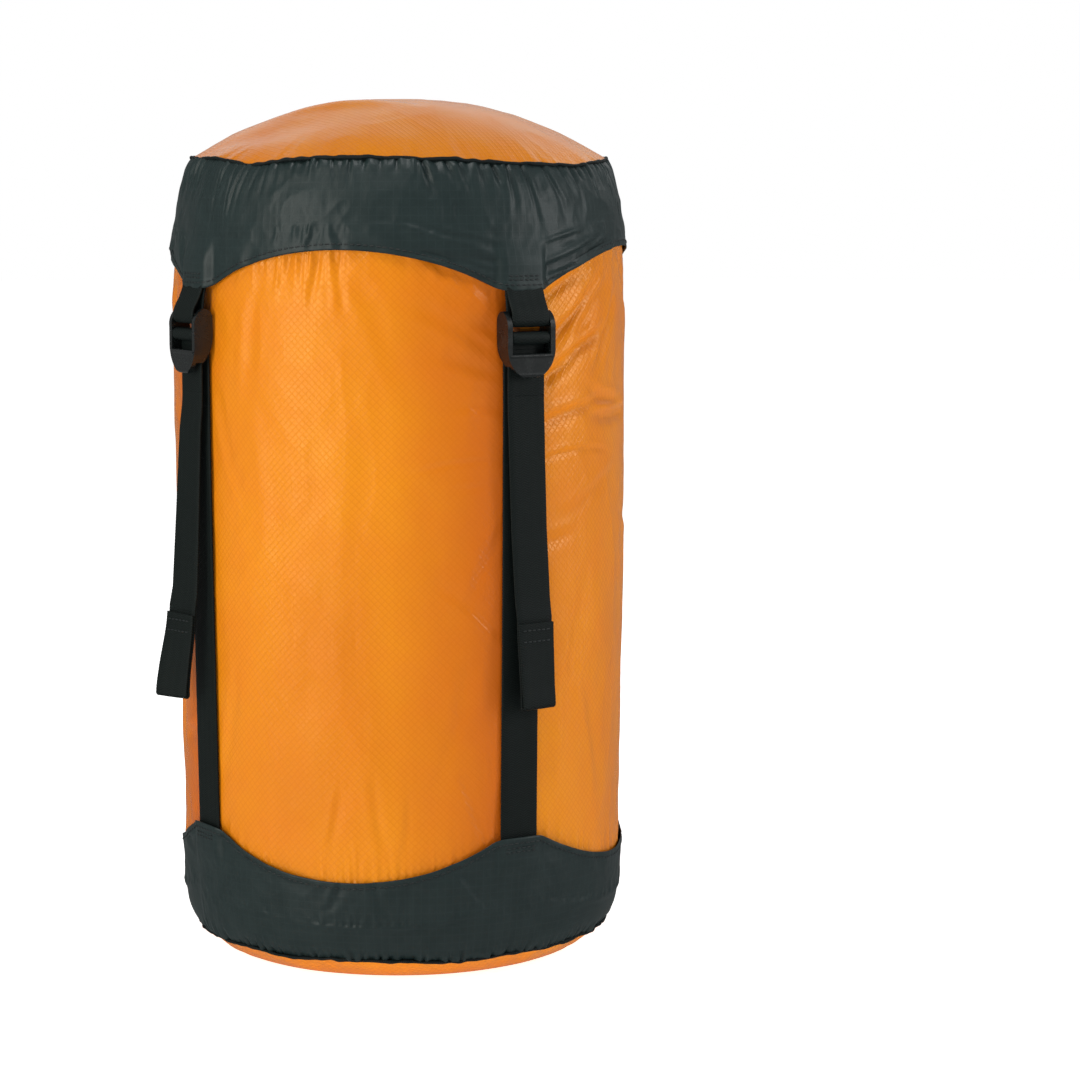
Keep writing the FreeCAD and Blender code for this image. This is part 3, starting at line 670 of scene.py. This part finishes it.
def wall_relief(angle, z):
    """How far the wall stands off its smooth line: dents at the straps, lumps, creases and puckers."""
    a = np.radians(angle) * GIRTH
    aside = np.radians(from_station(angle)) * GIRTH
    dent = -STRAP_DENT * np.exp(-(aside / 20.0) ** 2)
    lumps = 0.7 * noise(a / (WAIST / 12), z / 95, 21, 12) + 0.3 * noise(a / (WAIST / 26), z / 42, 22, 26)
    tilt = noise(a / (WAIST / 9), z / 60, 23, 9)
    lean = a + 9 * tilt
    crinkle = 0.26 * creases(lean / (WAIST / 60), z / 34, 24, 60)
    crinkle = crinkle + 0.15 * creases((a + 0.7 * z) / 13.0, (z - 0.7 * a) / 30.0, 25)
    crinkle = crinkle + 0.15 * creases((a - 0.6 * z) / 12.0, (z + 0.6 * a) / 28.0, 26)
    crinkle = crinkle + 0.07 * creases(a / (WAIST / 170), z / 11, 27, 170)
    below_lid = lid_edge(angle) - z
    above_base = z - base_edge(angle)
    puckers = folds(a, below_lid, LID_PUCKERS, -1) + folds(a, above_base, BASE_PUCKERS, -1)
    covered = smooth((-below_lid - 1) / 8) + smooth((-above_base - 1) / 8)
    open_share = 1 - np.clip(covered, 0, 1)
    off_strap = 1 - np.exp(-(aside / 14) ** 2)
    relief = (lumps + crinkle * 0.8 + puckers + wall_folds(angle, z) * off_strap) * open_share
    relief = np.where(relief > 0, TALLEST_FOLD * np.tanh(relief / TALLEST_FOLD), relief)
    return dent + relief - 0.7 * (1 - open_share)


def ring_out(ring, angle, s):
    """A ring's relief, lifted wherever the wall would come through it, at rest or drawn right down."""
    out = ring_relief(ring, angle, s)
    smooth_radius, z = ring.line.at(s)[:2]
    drop = FULL_TRAVEL if ring is LID_RING else 0.0
    drawn = WALL_FOOT + (z - drop - WALL_FOOT) / WALL_KEEP
    at_rest = WALL_OUTLINE.radius(z) + wall_relief(angle, z)
    drawn_down = WALL_OUTLINE.radius(drawn) + wall_relief(angle, drawn)
    short = np.maximum(at_rest, drawn_down) + RING_GAP - (smooth_radius + out)
    beside = smooth((z - 10) / 4) * (1 - smooth((z - 352) / 10))
    return out + beside * np.log1p(np.exp(np.clip(short, -20, 20) * 4)) / 4


# ---------------- fabric pieces

def make_ring(name, ring, node):
    """One black ring: a gathered band from its seam to its arched hem, with the hem's folded edge."""
    columns, rows = 1000, 62
    angle = np.arange(columns) / columns * 360
    edge = ring_edge(ring, angle)
    share = np.linspace(0, 1, rows) ** 0.92
    s = share[:, None] * edge[None, :]
    out = ring_out(ring, angle[None, :], s)
    points = place(ring.line, angle[None, :], s, out)
    points[..., 2] += seam_wave(angle, ring.seed)[None, :] * np.exp(-(s / 12) ** 2)
    under = [(0.22, -CLOTH), (0.0, -2 * CLOTH), (-4.0, -2.6 * CLOTH)]
    turned = [place(ring.line, angle, edge + along, out[-1] + lift) for along, lift in under]
    points = np.concatenate([points, np.stack(turned)])
    a = np.radians(angle) * GIRTH
    flat = np.stack([np.broadcast_to(a, s.shape), s], -1)
    turned_flat = np.stack([np.stack([a, edge + k], -1) for k in (0.5, 1.0, 4.0)])
    faces = grid(rows + 3, columns, True, flip=ring is LID_RING)
    piece = put(name, points, faces, SLATE, np.concatenate([flat, turned_flat]))
    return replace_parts(piece, node)


def hem_stitches(name, ring):
    """The stitches that hold a ring's hem, and the two short rows across each tip."""
    from_edge, tip_rows, half_row = 2.5, (4.8, 6.6), 8.3

    def on(angles, s, lift):
        return place(ring.line, angles, s, ring_out(ring, angles, s) + lift)

    def row(angles, away):
        s = ring_edge(ring, angles) - away
        low = on(angles, s, 0.12)
        return stitch_line(low, on(angles, s, 1.12) - low)

    parts = [row(np.linspace(0, 360, 1441), from_edge)]
    reach = math.degrees(half_row / GIRTH)
    for middle in CORNERS.values():
        angles = np.linspace(middle - reach, middle + reach, 25)
        parts += [row(angles, away) for away in tip_rows]
    return sewn(name, parts)


def make_binding(name, ring, node):
    """The corded seam between a ring and its disc, pulled into small scallops."""
    columns, sides = 1000, 10
    angle = np.arange(columns) / columns * 360
    a = np.radians(angle) * GIRTH
    beat, sway = [noise(a / (WAIST / 155), v, ring.seed, 155) for v in (0.0, 7.5)]
    radius = 0.85 + 0.25 * beat
    at_seam = np.full(columns, -0.2)
    middle = place(ring.line, angle, at_seam, 0.3 + 0.35 * sway)
    middle[:, 2] += seam_wave(angle, ring.seed)
    outward = place(ring.line, angle, at_seam, 1.0) - place(ring.line, angle, at_seam, 0.0)
    along = np.stack([-np.sin(np.radians(angle)), np.cos(np.radians(angle)), np.zeros(columns)], -1)
    across = np.cross(along, outward)
    rings = []
    for k in range(sides):
        turn = 2 * math.pi * k / sides
        rings.append(middle + radius[:, None] * (math.cos(turn) * outward + math.sin(turn) * across))
    points = np.stack(rings + rings[:1])
    flat = np.stack([np.stack([np.full(columns, k * 1.1), a], -1) for k in range(sides + 1)])
    piece = put(name, points, grid(sides + 1, columns, True), BINDING, flat)
    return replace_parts(piece, node)


def on_wall(angle, z, lift=0.0):
    """Points on the wall's cloth, lifted off it where asked."""
    return place(WALL_OUTLINE, angle, WALL_OUTLINE.length_to(z), wall_relief(angle, z) + lift)


def shorten_with_wall(piece):
    """Let a piece stand on the base, with a mesh of its own."""
    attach(piece, "root")
    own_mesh(piece)


def make_wall(name, corner_angle):
    """A quarter of the orange wall, from one strap round to the next."""
    columns, rows = 230, 300
    angle = np.linspace(corner_angle, corner_angle + 90, columns)
    z = np.linspace(WALL_FOOT, WALL_TOP, rows)
    aa, zz = np.meshgrid(angle, z)
    flat = np.stack([np.radians(aa) * GIRTH, zz], -1)
    piece = put(name, on_wall(aa, zz), grid(rows, columns), WALL_ORANGE_SHADED, flat)
    return piece


def disc(name, height, columns, rows, radial, node):
    """A round panel: height(angle, radius) gives its surface, from its middle out to the seam."""
    angle = np.arange(columns) / columns * 360
    radius = SEAM_RADIUS * (np.arange(1, rows + 1) / rows) ** radial
    aa, rr = np.meshgrid(angle, radius)
    turn = np.radians(aa)
    points = np.stack([rr * np.cos(turn), rr * np.sin(turn), height(aa, rr)], -1).reshape(-1, 3)
    middle = np.array([[0, 0, float(np.mean(height(angle, np.full(columns, 0.01))))]])
    points = np.vstack([points, middle])
    hub = len(points) - 1
    faces = grid(rows, columns, True).tolist()
    faces += [[hub, (k + 1) % columns, k] for k in range(columns)]
    if name == "lid_top":
        faces = [f[::-1] for f in faces]
    piece = put(name, points, faces, ORANGE, points[:, :2])
    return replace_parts(piece, node)


def lid_height(angle, radius):
    """The stuffed lid: a soft dome with slack folds and small puckers at its seam."""
    turn = np.radians(angle)
    x, y = radius * np.cos(turn), radius * np.sin(turn)
    full = np.clip(radius / SEAM_RADIUS, 0, 1)
    dome = LID_SEAM + (CROWN - LID_SEAM) * (1 - full**2.2)
    slack = 1.1 * noise(x / 42 + 3, y / 30 + 5, 31) + 0.4 * creases(x / 34 + 0.3 * y / 30, y / 24 + 9, 32)
    slack = slack + 0.15 * creases((x + y) / 15 + 40, (x - y) / 22 + 60, 33)
    # a shallow hollow across the front left, where the filling is short
    hollow = np.exp(-((x + 52) / 30) ** 2 - ((y + 58) / 17) ** 2)
    slack = slack - 3.2 * hollow + 2.0 * np.exp(-((x + 26) / 30) ** 2 - ((y + 34 + 0.12 * x) / 7) ** 2)
    a = np.radians(angle) * GIRTH
    gather = noise(a / (WAIST / 140), np.zeros_like(a), 34, 140)
    gather = gather + 0.6 * noise(a / (WAIST / 70), radius / 9, 35, 70)
    gather = 0.5 * gather * np.exp(-(SEAM_RADIUS - radius) / 7.0)
    drift = seam_wave(angle, LID_SEED) * np.exp(-(SEAM_RADIUS - radius) / 12)
    return dome + slack * (1 - full**6) + gather * smooth((SEAM_RADIUS - radius) / 1.5 + 0.3) + drift


def base_height(angle, radius):
    """The bottom: flat where it stands, rising to the seam in small puckers."""
    rise = smooth((radius - 80) / (SEAM_RADIUS - 80) * 0.5) * 2 * BASE_SEAM
    a = np.radians(angle) * GIRTH
    gather = noise(a / (WAIST / 90), radius / 11, 36, 90)
    lift = 0.7 * gather * smooth((radius - 84) / 10) * smooth((SEAM_RADIUS - radius) / 2)
    drift = seam_wave(angle, BASE_SEED) * np.exp(-(SEAM_RADIUS - radius) / 6)
    return np.maximum(rise + lift + drift, 0.02)


# ---------------- webbing

def ribbon(name, centre, side, start=0.0):
    """A length of webbing along points, with its width in the side direction and scalloped selvages.

    start is where along the whole strap it begins, so that the weave runs on from piece to piece.
    """
    step, depth = 0.38, 0.16
    lengths = np.concatenate([[0], np.cumsum(np.linalg.norm(np.diff(centre, axis=0), axis=1))])
    count = max(4, int(lengths[-1] / step))
    where = np.linspace(0, lengths[-1], count)
    middle = np.stack([np.interp(where, lengths, centre[:, k]) for k in range(3)], -1)
    sideways = np.stack([np.interp(where, lengths, side[:, k]) for k in range(3)], -1)
    along = np.gradient(middle, where, axis=0)
    along /= np.linalg.norm(along, axis=1)[:, None]
    sideways -= along * np.sum(along * sideways, axis=1)[:, None]
    sideways /= np.linalg.norm(sideways, axis=1)[:, None]
    face = np.cross(sideways, along)
    scallop = depth * np.abs(np.sin((where + start) * math.pi / 1.5))
    half, t = WEB_WIDTH / 2 - depth, WEB_THICK / 2
    right = [(0.3, 1.0), (0.62, 0.88), (0.93, 0.95), (0.985, 0.6), (1.0, 0.0)]
    section = [(-x, y) for x, y in right[::-1]] + [(0.0, 0.94)] + right
    loop = section + [(x, -y) for x, y in section[-2:0:-1]]
    rows = []
    flat = []
    for x, y in loop:
        reach = x * half + np.sign(x) * scallop * (abs(x) > 0.9)
        rows.append(middle + sideways * reach[:, None] + face * (y * t))
        flat.append(np.stack([np.full(count, x * half), where + start], -1))
    points = np.stack(rows + rows[:1], 1)
    flat = np.stack(flat + flat[:1], 1)
    sides = len(loop) + 1
    caps = [list(range(len(loop)))[::-1], [(count - 1) * sides + k for k in range(len(loop))]]
    faces = grid(count, sides).tolist() + caps
    piece = put(name, points, faces, WEBBING, flat)
    return piece


def arc(middle, radius, first, last, count=16):
    """Points of an arc in the (out, up) plane."""
    turn = np.radians(np.linspace(first, last, count))
    return [(middle[0] + radius * math.cos(t), middle[1] + radius * math.sin(t)) for t in turn]


def at_station(angle, out_up, aside=None):
    """(radius, height) points turned to a strap's place, moved aside along the wall where asked."""
    turn = math.radians(angle)
    outward = np.array([math.cos(turn), math.sin(turn), 0])
    tangent = np.array([-math.sin(turn), math.cos(turn), 0])
    p = np.array(out_up, float)
    aside = np.zeros(len(p)) if aside is None else np.asarray(aside, float)
    return p[:, :1] * outward + p[:, 1:] * np.array([0, 0, 1.0]) + aside[:, None] * tangent


def tangent_rows(angle, count, twist=None):
    """The width direction of a strap at each of its points, turned by twist degrees about the vertical."""
    turn = math.radians(angle) + np.radians(np.zeros(count) if twist is None else twist)
    return np.stack([-np.sin(turn), np.cos(turn), 0 * turn], -1)


def webbing_at(name, angle, out_up, start=0.0):
    """A ribbon along (radius, height) points at a strap's place, square to the wall."""
    return ribbon(name, at_station(angle, out_up), tangent_rows(angle, len(out_up)), start)


def strap_radius(z):
    """Middle of a standing strap, lying in its dent a little clear of the wall."""
    clear = 0.55
    return WALL_OUTLINE.radius(np.asarray(z, float)) - STRAP_DENT + WEB_THICK / 2 + clear


def make_standing(corner, angle):
    """The strap that stands on the wall, in three pieces, the lowest of them standing on the base."""
    spans = {"strap": (45.0, 245.0), "strap_reach": (245.0, 270.0), "strap_lead": (270.0, 299.5)}
    made = {}
    for name, (low, high) in spans.items():
        z = np.linspace(low, high, 60)
        r = strap_radius(z)
        lead = smooth((z - 272) / 27)
        r = r * (1 - lead) + (BAR_RADIUS - 5.7) * lead
        made[name] = webbing_at(f"{name}_{corner}", angle, np.stack([r, z], -1), low)
    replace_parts(made["strap"], f"strap_{corner}")
    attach(made["strap"], "root")
    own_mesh(made["strap"])
    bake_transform(made["strap_reach"])
    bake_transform(made["strap_lead"])


def make_loop(corner, angle):
    """The doubled webbing that holds the ladder lock, sewn under the lid ring's tip."""
    back = curve([(110.6, 336), (110.9, 330), (112.3, 320), (113.0, 312)], 10)
    front = curve([(118.2, 312), (117.5, 316), (114.6, 321.5), (112.4, 328), (111.9, 336)], 10)
    turn = arc((BAR_RADIUS, BAR_LEVEL), 2.6, 180, 360)
    line = np.array([*map(tuple, back), *turn[1:-1], *map(tuple, front)])
    piece = webbing_at(f"buckle_loop_web_{corner}", angle, line)
    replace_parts(piece, f"buckle_loop_{corner}")
    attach(piece, "lid")


def make_turn(corner, angle):
    """The webbing where it turns over and under the ladder lock's grip bar."""
    u, w = BAR_RADIUS, BAR_LEVEL
    line = [(u - 5.7, w - 12.7), (u - 5.7, w - 8.9), *arc((u - 2.7, w - 8.9), 3.0, 175, 95, 10),
            (u - 1.0, w - 5.9), *arc((u + 0.8, w - 8.2), 2.3, 90, -90, 14), (u + 0.2, w - 10.5),
            *arc((u - 0.35, w - 12.0), 1.5, 95, 178, 8), (u - 1.85, w - 13.7)]
    piece = webbing_at(f"strap_turn_web_{corner}", angle, line, 299.5)
    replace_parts(piece, f"strap_turn_{corner}")
    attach(piece, f"buckle_{corner}")


# How each tail lies: out from the wall, aside along it and its twist in degrees, each at TAIL_HEIGHTS
# from the top down, and last how much more of it the tab takes on.
TAIL_PATHS = {
    "front_left": [(0, 0.5, 1.8, 3.2, 4.0, 3.5), (0, -2.5, -3.2, -3.8, -5.5, -3.0), (0, 3, 6, 9, 11, 9)],
    "front_right": [(0, -0.3, -0.8, -0.6, 0.0, 1.2), (0, 0.8, 2.2, 4.0, 4.8, 0.6), (0, 1, 2, 3, 4, 5)],
    "back_right": [(0, -0.4, -1.0, -0.9, 0.0, 1.8), (0, -0.5, -1.4, -2.0, -1.8, 1.5), (0, 2, 4, 5, 8, 9)],
    "back_left": [(0, -0.2, -0.9, -0.9, 0.1, 1.6), (0, 0.7, 1.0, 0.4, -0.8, -1.2), (0, -1, -2, -3, -4, -6)],
}
NECK_TOP = BAR_LEVEL - 13.6
TAIL_TOP = BAR_LEVEL - 28.5
TAIL_HEIGHTS = [TAIL_TOP, 250.0, 215.0, 182.0, 172.0]
TAIL_RADIUS = BAR_RADIUS - 1.85
TAIL_START = TAIL_TOP - 6.5
TAIL_END = 173.0
TAB_TOP = 172.0           # where the folded tab's outer layer ends
TAB_FOOT = 131.0
TAB_HALF = 1.0            # half the distance between the tab's two layers
UP = np.array([0, 0, 1.0])


def make_neck(corner, angle):
    """The strap from the ladder lock to its tail, in two pieces."""
    z = np.linspace(NECK_TOP, TAIL_TOP + 7.5, 14)
    line = np.stack([np.full(len(z), TAIL_RADIUS), z], -1)
    neck = webbing_at(f"strap_neck_web_{corner}", angle, line, 315)
    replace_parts(neck, f"strap_neck_{corner}")
    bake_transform(neck)
    z = np.linspace(TAIL_TOP + 7.5, TAIL_START, 14)
    line = np.stack([np.full(len(z), TAIL_RADIUS), z], -1)
    crook = webbing_at(f"strap_crook_{corner}", angle, line, 322.4)
    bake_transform(crook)


def hang_on_tail(piece, corner):
    """Let a piece swing with the tail, with a mesh of its own."""
    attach(piece, f"tail_{corner}")
    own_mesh(piece)


def tail_line(corner, angle):
    """The middle of the tail down to its tab's foot, with the height, twist and facing of each point."""
    z = np.linspace(TAIL_START, TAIL_END, 90)
    ease = smooth((TAIL_START - z) / 20)
    share = np.linspace(0, 1, 40)[1:]
    runs = []
    for first, (*lie, tab) in zip((TAIL_RADIUS, 0.0, 0.0), TAIL_PATHS[corner]):
        run = first + ease * np.interp(z, TAIL_HEIGHTS[::-1], lie[::-1])
        runs.append(np.concatenate([run, run[-1] + tab * smooth(share)]))
    out, aside, twist = runs
    z = np.concatenate([z, TAIL_END + (TAB_FOOT + TAB_HALF - TAIL_END) * share])
    turn = math.radians(angle) + np.radians(twist)
    facing = np.stack([np.cos(turn), np.sin(turn), 0 * turn], -1)
    return at_station(angle, np.stack([out, z], -1), aside), z, twist, facing


def make_tail(corner, angle):
    """The free end of the strap: down to its foot, round it and back up outside as the pull tab."""
    down, z, twist, facing = tail_line(corner, angle)
    foot = np.radians(np.linspace(180, 360, 14)[1:-1])[:, None]
    round_foot = down[-1] + TAB_HALF * (1 + np.cos(foot)) * facing[-1] + TAB_HALF * np.sin(foot) * UP
    rise = slice(len(z) - 1, np.searchsorted(-z, -TAB_TOP), -1)
    loose = smooth((z[rise] - TAB_FOOT) / 12)[:, None]
    up = down[rise] + facing[rise] * TAB_HALF * (2 - 0.6 * loose)
    centre = np.vstack([down, round_foot, up])
    twists = np.concatenate([twist, np.full(len(foot), twist[-1]), twist[rise]])
    tail = ribbon(f"strap_tail_web_{corner}", centre, tangent_rows(angle, len(centre), twists), start=336.3)
    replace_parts(tail, f"strap_tail_{corner}")
    hang_on_tail(tail, corner)
    stitch_tab(corner, up, facing[rise])


def stitch_tab(corner, up, facing):
    """Two rows of stitches across the outer layer of a tab."""
    rows = []
    for below_top in (4.0, 9.0):
        k = int(np.argmin(np.abs(up[:, 2] - (TAB_TOP - below_top))))
        outward = facing[k]
        side = np.array([-outward[1], outward[0], 0])
        across = np.linspace(-8, 8, 9)[:, None]
        rows.append(stitch_line(up[k] + outward * (WEB_THICK / 2 + 0.05) + across * side,
                                np.tile(outward, (9, 1)), pitch=2.6))
    tack = sewn(f"tab_stitches_{corner}", rows)
    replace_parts(tack, f"tab_tack_{corner}")
    hang_on_tail(tack, corner)


# ---------------- mouth

MOUTH_LINE = Line([(104.6, 350), (104.4, 356), (101.5, 366), (94.0, 373.6), (82.0, 377.1), (50.0, 379.2),
                   (19.0, 380.6)])


def pleat_waves(angle, v, w):
    """The waves of the drawn mouth round the sack: broad ones along v and finer ones along w."""
    return noise(angle / 9.0, v, 41, 40) + 0.55 * noise(angle / 4.5, w, 42, 80)


def make_shoulder():
    """The shoulder of the sack, drawn into pleats that deepen towards the cord."""
    columns, rows = 720, 90
    angle = np.arange(columns) / columns * 360
    s = np.linspace(0, MOUTH_LINE.length, rows)
    radius = MOUTH_LINE.at(s)[0][:, None]
    drawn = smooth((100 - radius) / 75)
    out = pleat_waves(angle[None, :], radius / 60, radius / 40) * (0.35 + 1.5 * drawn)
    points = place(MOUTH_LINE, angle[None, :], s[:, None], out)
    flat = np.stack(np.broadcast_arrays(np.radians(angle)[None, :] * GIRTH, s[:, None]), -1)
    shoulder = put("mouth_shoulder", points, grid(rows, columns, True), ORANGE, flat)
    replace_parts(shoulder, "mouth_gather")
    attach(shoulder, "mouth")


def make_ruffle():
    """The hem round the drawcord, standing up as a ruffle."""
    columns = 720
    angle = np.arange(columns) / columns * 360
    outline = curve([(19.0, 380.4), (18.6, 384), (18.3, 388.5), (18.9, 392), (18.0, 395.8), (16.0, 397.6),
                     (14.0, 395.8), (13.2, 392), (13.8, 388.5), (13.6, 382)], 6)
    waves = pleat_waves(angle, 0.4, 0.5)
    turn = np.radians(angle)
    rings = []
    for r, z in outline:
        out = r + 1.35 * waves * smooth((z - 379) / 4) ** 0.3
        rings.append(np.stack([out * np.cos(turn), out * np.sin(turn), z + 0.5 * waves], -1))
    flat = np.stack(np.broadcast_arrays(turn[None, :] * 17, np.arange(len(outline))[:, None] * 0.9), -1)
    ruffle = put("mouth_ruffle", np.stack(rings), grid(len(outline), columns, True), ORANGE, flat)
    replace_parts(ruffle, "mouth_hem")
    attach(ruffle, "mouth")


# ---------------- seam and label

def make_side_seam():
    """The wall's felled seam at the back, with its two rows of stitches."""
    z = np.linspace(48, 346, 400)
    half = 4.5
    across = np.linspace(-half, half, 9)
    angle = 90 + np.degrees(across / GIRTH)
    aa, zz = np.meshgrid(angle, z)
    lift = 0.45 * smooth((half - np.abs(np.broadcast_to(across, aa.shape))) / 0.8)
    lift = lift + 0.12 * noise(zz / 5, across[None, :] / 5, 51)
    flat = np.stack([np.radians(aa) * GIRTH, zz], -1)
    seam = put("side_seam_fell", on_wall(aa, zz, lift), grid(len(z), 9), ORANGE, flat)
    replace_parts(seam, "side_seam")
    rows = []
    for offset in (-3.2, 3.2):
        line_angle = np.full(len(z), 90 + math.degrees(offset / GIRTH))
        low = on_wall(line_angle, z, 0.55)
        rows.append(stitch_line(low, on_wall(line_angle, z, 1.55) - low, radius=0.25))
    thread = sewn("side_seam_stitches", rows)
    for piece in (seam, thread):
        shorten_with_wall(piece)


def make_label():
    """A plain woven label on the wall, lower along its edge."""
    low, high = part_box("side_label")
    middle_angle = math.degrees(math.atan2(low.y + high.y, low.x + high.x))
    z = np.linspace(low.z / MM, high.z / MM, 40)
    across = np.linspace(-7.5, 7.5, 24)
    angle = middle_angle + np.degrees(across / GIRTH)
    aa, zz = np.meshgrid(angle, z)
    edge = np.minimum(7.5 - np.abs(np.broadcast_to(across, aa.shape)), np.minimum(zz - z[0], z[-1] - zz))
    s = WALL_OUTLINE.length_to(zz)
    lift = 0.75 - 0.35 * (1 - smooth(edge / 0.8)) + 0.1 * noise(zz / 6, across[None, :] / 6, 52)
    points = place(WALL_OUTLINE, aa, s, lift + np.maximum(wall_relief(aa, zz), 0))
    flat = np.stack([np.broadcast_to(across, aa.shape), zz], -1)
    label = put("label_patch", points, grid(len(z), 24), LABEL, flat)
    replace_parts(label, "side_label")
    shorten_with_wall(label)


# ---------------- assembly

def dress_hardware():
    """Materials and softened edges for the CAD parts that stay as they are."""
    plain = {"cord_lock_barrel": PLASTIC, "cord_lock_button": PLASTIC, "cord_lock_spring": STEEL,
             "drawcord": CORD}
    plain.update({f"ladder_lock_{corner}": PLASTIC for corner in CORNERS})
    for name, material in plain.items():
        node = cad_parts[name]
        node.data.materials.clear()
        node.data.materials.append(material)
        if name.startswith("ladder_lock"):
            edge = node.modifiers.new("edges", "BEVEL")
            edge.width = 0.45 * MM
            edge.segments = 3
            edge.limit_method = "ANGLE"
            edge.angle_limit = math.radians(28)
            node.data.polygons.foreach_set("use_smooth", [True] * len(node.data.polygons))


def build():
    make_ring("lid_ring_cloth", LID_RING, "lid_ring")
    make_ring("base_ring_cloth", BASE_RING, "base_ring")
    make_binding("lid_seam_cord", LID_RING, "lid_binding")
    make_binding("base_seam_cord", BASE_RING, "base_binding")
    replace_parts(hem_stitches("lid_stitches", LID_RING), "lid_tacks")
    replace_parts(hem_stitches("base_stitches", BASE_RING), "base_tacks")
    disc("lid_top", lid_height, 900, 100, 0.8, "lid_panel")
    disc("base_bottom", base_height, 720, 60, 0.75, "base_panel")
    riders = {"lid": ("lid_ring_cloth", "lid_seam_cord", "lid_stitches", "lid_top"),
              "root": ("base_ring_cloth", "base_seam_cord", "base_stitches", "base_bottom")}
    for body, names in riders.items():
        for name in names:
            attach(bpy.data.objects[name], body)
    quarters = {"wall_front": -135, "wall_right": -45, "wall_back": 45, "wall_left": 135}
    for name, corner_angle in quarters.items():
        shorten_with_wall(make_wall(name, corner_angle))
    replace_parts(bpy.data.objects["wall_front"], "wall_lower", "wall_middle", "wall_upper")
    make_shoulder()
    make_ruffle()
    make_side_seam()
    make_label()
    for corner, angle in CORNERS.items():
        make_standing(corner, angle)
        make_loop(corner, angle)
        make_turn(corner, angle)
        make_neck(corner, angle)
        make_tail(corner, angle)
    dress_hardware()


# ---------------- studio

def make_camera():
    """A long lens, slightly right of the sack's front and level with its lid, looking a little down."""
    around, distance, height = math.radians(14.5), 1.6, 0.385
    pitch, yaw = math.radians(6.64), math.radians(2.45)
    data = bpy.data.cameras.new("camera")
    data.lens = 108.8
    data.sensor_width = 36.0
    data.clip_end = 50.0
    camera = bpy.data.objects.new("camera", data)
    camera.location = (distance * math.sin(around), -distance * math.cos(around), height)
    camera.rotation_euler = (math.radians(90) - pitch, 0, around - yaw)
    bpy.context.scene.collection.objects.link(camera)
    bpy.context.scene.camera = camera


def soft_box(name, azimuth, elevation, distance, size, power, tint=(1, 1, 1)):
    """An oblong light aimed at the sack's middle. Azimuth 0 is its front, and 90 its right."""
    data = bpy.data.lights.new(name, "AREA")
    data.shape = "RECTANGLE"
    data.size, data.size_y = size
    data.energy = power
    data.color = tint
    lamp = bpy.data.objects.new(name, data)
    a, e = math.radians(azimuth), math.radians(elevation)
    middle = Vector((0, 0, 0.21))
    towards = Vector((math.sin(a) * math.cos(e), -math.cos(a) * math.cos(e), math.sin(e)))
    lamp.location = middle + distance * towards
    lamp.rotation_euler = (middle - lamp.location).to_track_quat("-Z", "Y").to_euler()
    lamp.visible_camera = False
    bpy.context.scene.collection.objects.link(lamp)


def make_floor():
    """A pale floor out to the horizon."""
    size = 30000.0
    points = [(-size, -size, 0), (size, -size, 0), (size, size, 0), (-size, size, 0)]
    floor = put("floor", points, [(0, 1, 2, 3)], studio_floor(), soft=False)
    floor.visible_glossy = False


def make_backdrop():
    """A white sphere round everything, which only the camera sees."""
    bpy.ops.mesh.primitive_uv_sphere_add(segments=48, ring_count=24, radius=9.0)
    backdrop = bpy.context.object
    backdrop.name = "backdrop"
    backdrop.data.materials.append(lit_backdrop())
    for ray in ("diffuse", "glossy", "transmission", "shadow"):
        setattr(backdrop, "visible_" + ray, False)


def make_lights():
    """Soft lights in a dimly lit grey room."""
    world = bpy.data.worlds.new("grey_room")
    world.use_nodes = True
    world.node_tree.nodes["Background"].inputs["Color"].default_value = (1, 1, 1, 1)
    world.node_tree.nodes["Background"].inputs["Strength"].default_value = 0.2
    bpy.context.scene.world = world
    soft_box("key_left", -36, 14, 1.9, (0.7, 1.5), 19, (1.0, 0.98, 0.91))
    soft_box("top_front", 10, 66, 1.7, (0.5, 0.5), 13)
    soft_box("top_back", 180, 30, 1.9, (2.4, 0.9), 5)
    soft_box("right", 94, 16, 1.9, (0.4, 1.2), 12)
    bpy.context.scene.view_settings.view_transform = "Standard"


make_camera()
make_floor()
make_backdrop()
make_lights()
build()
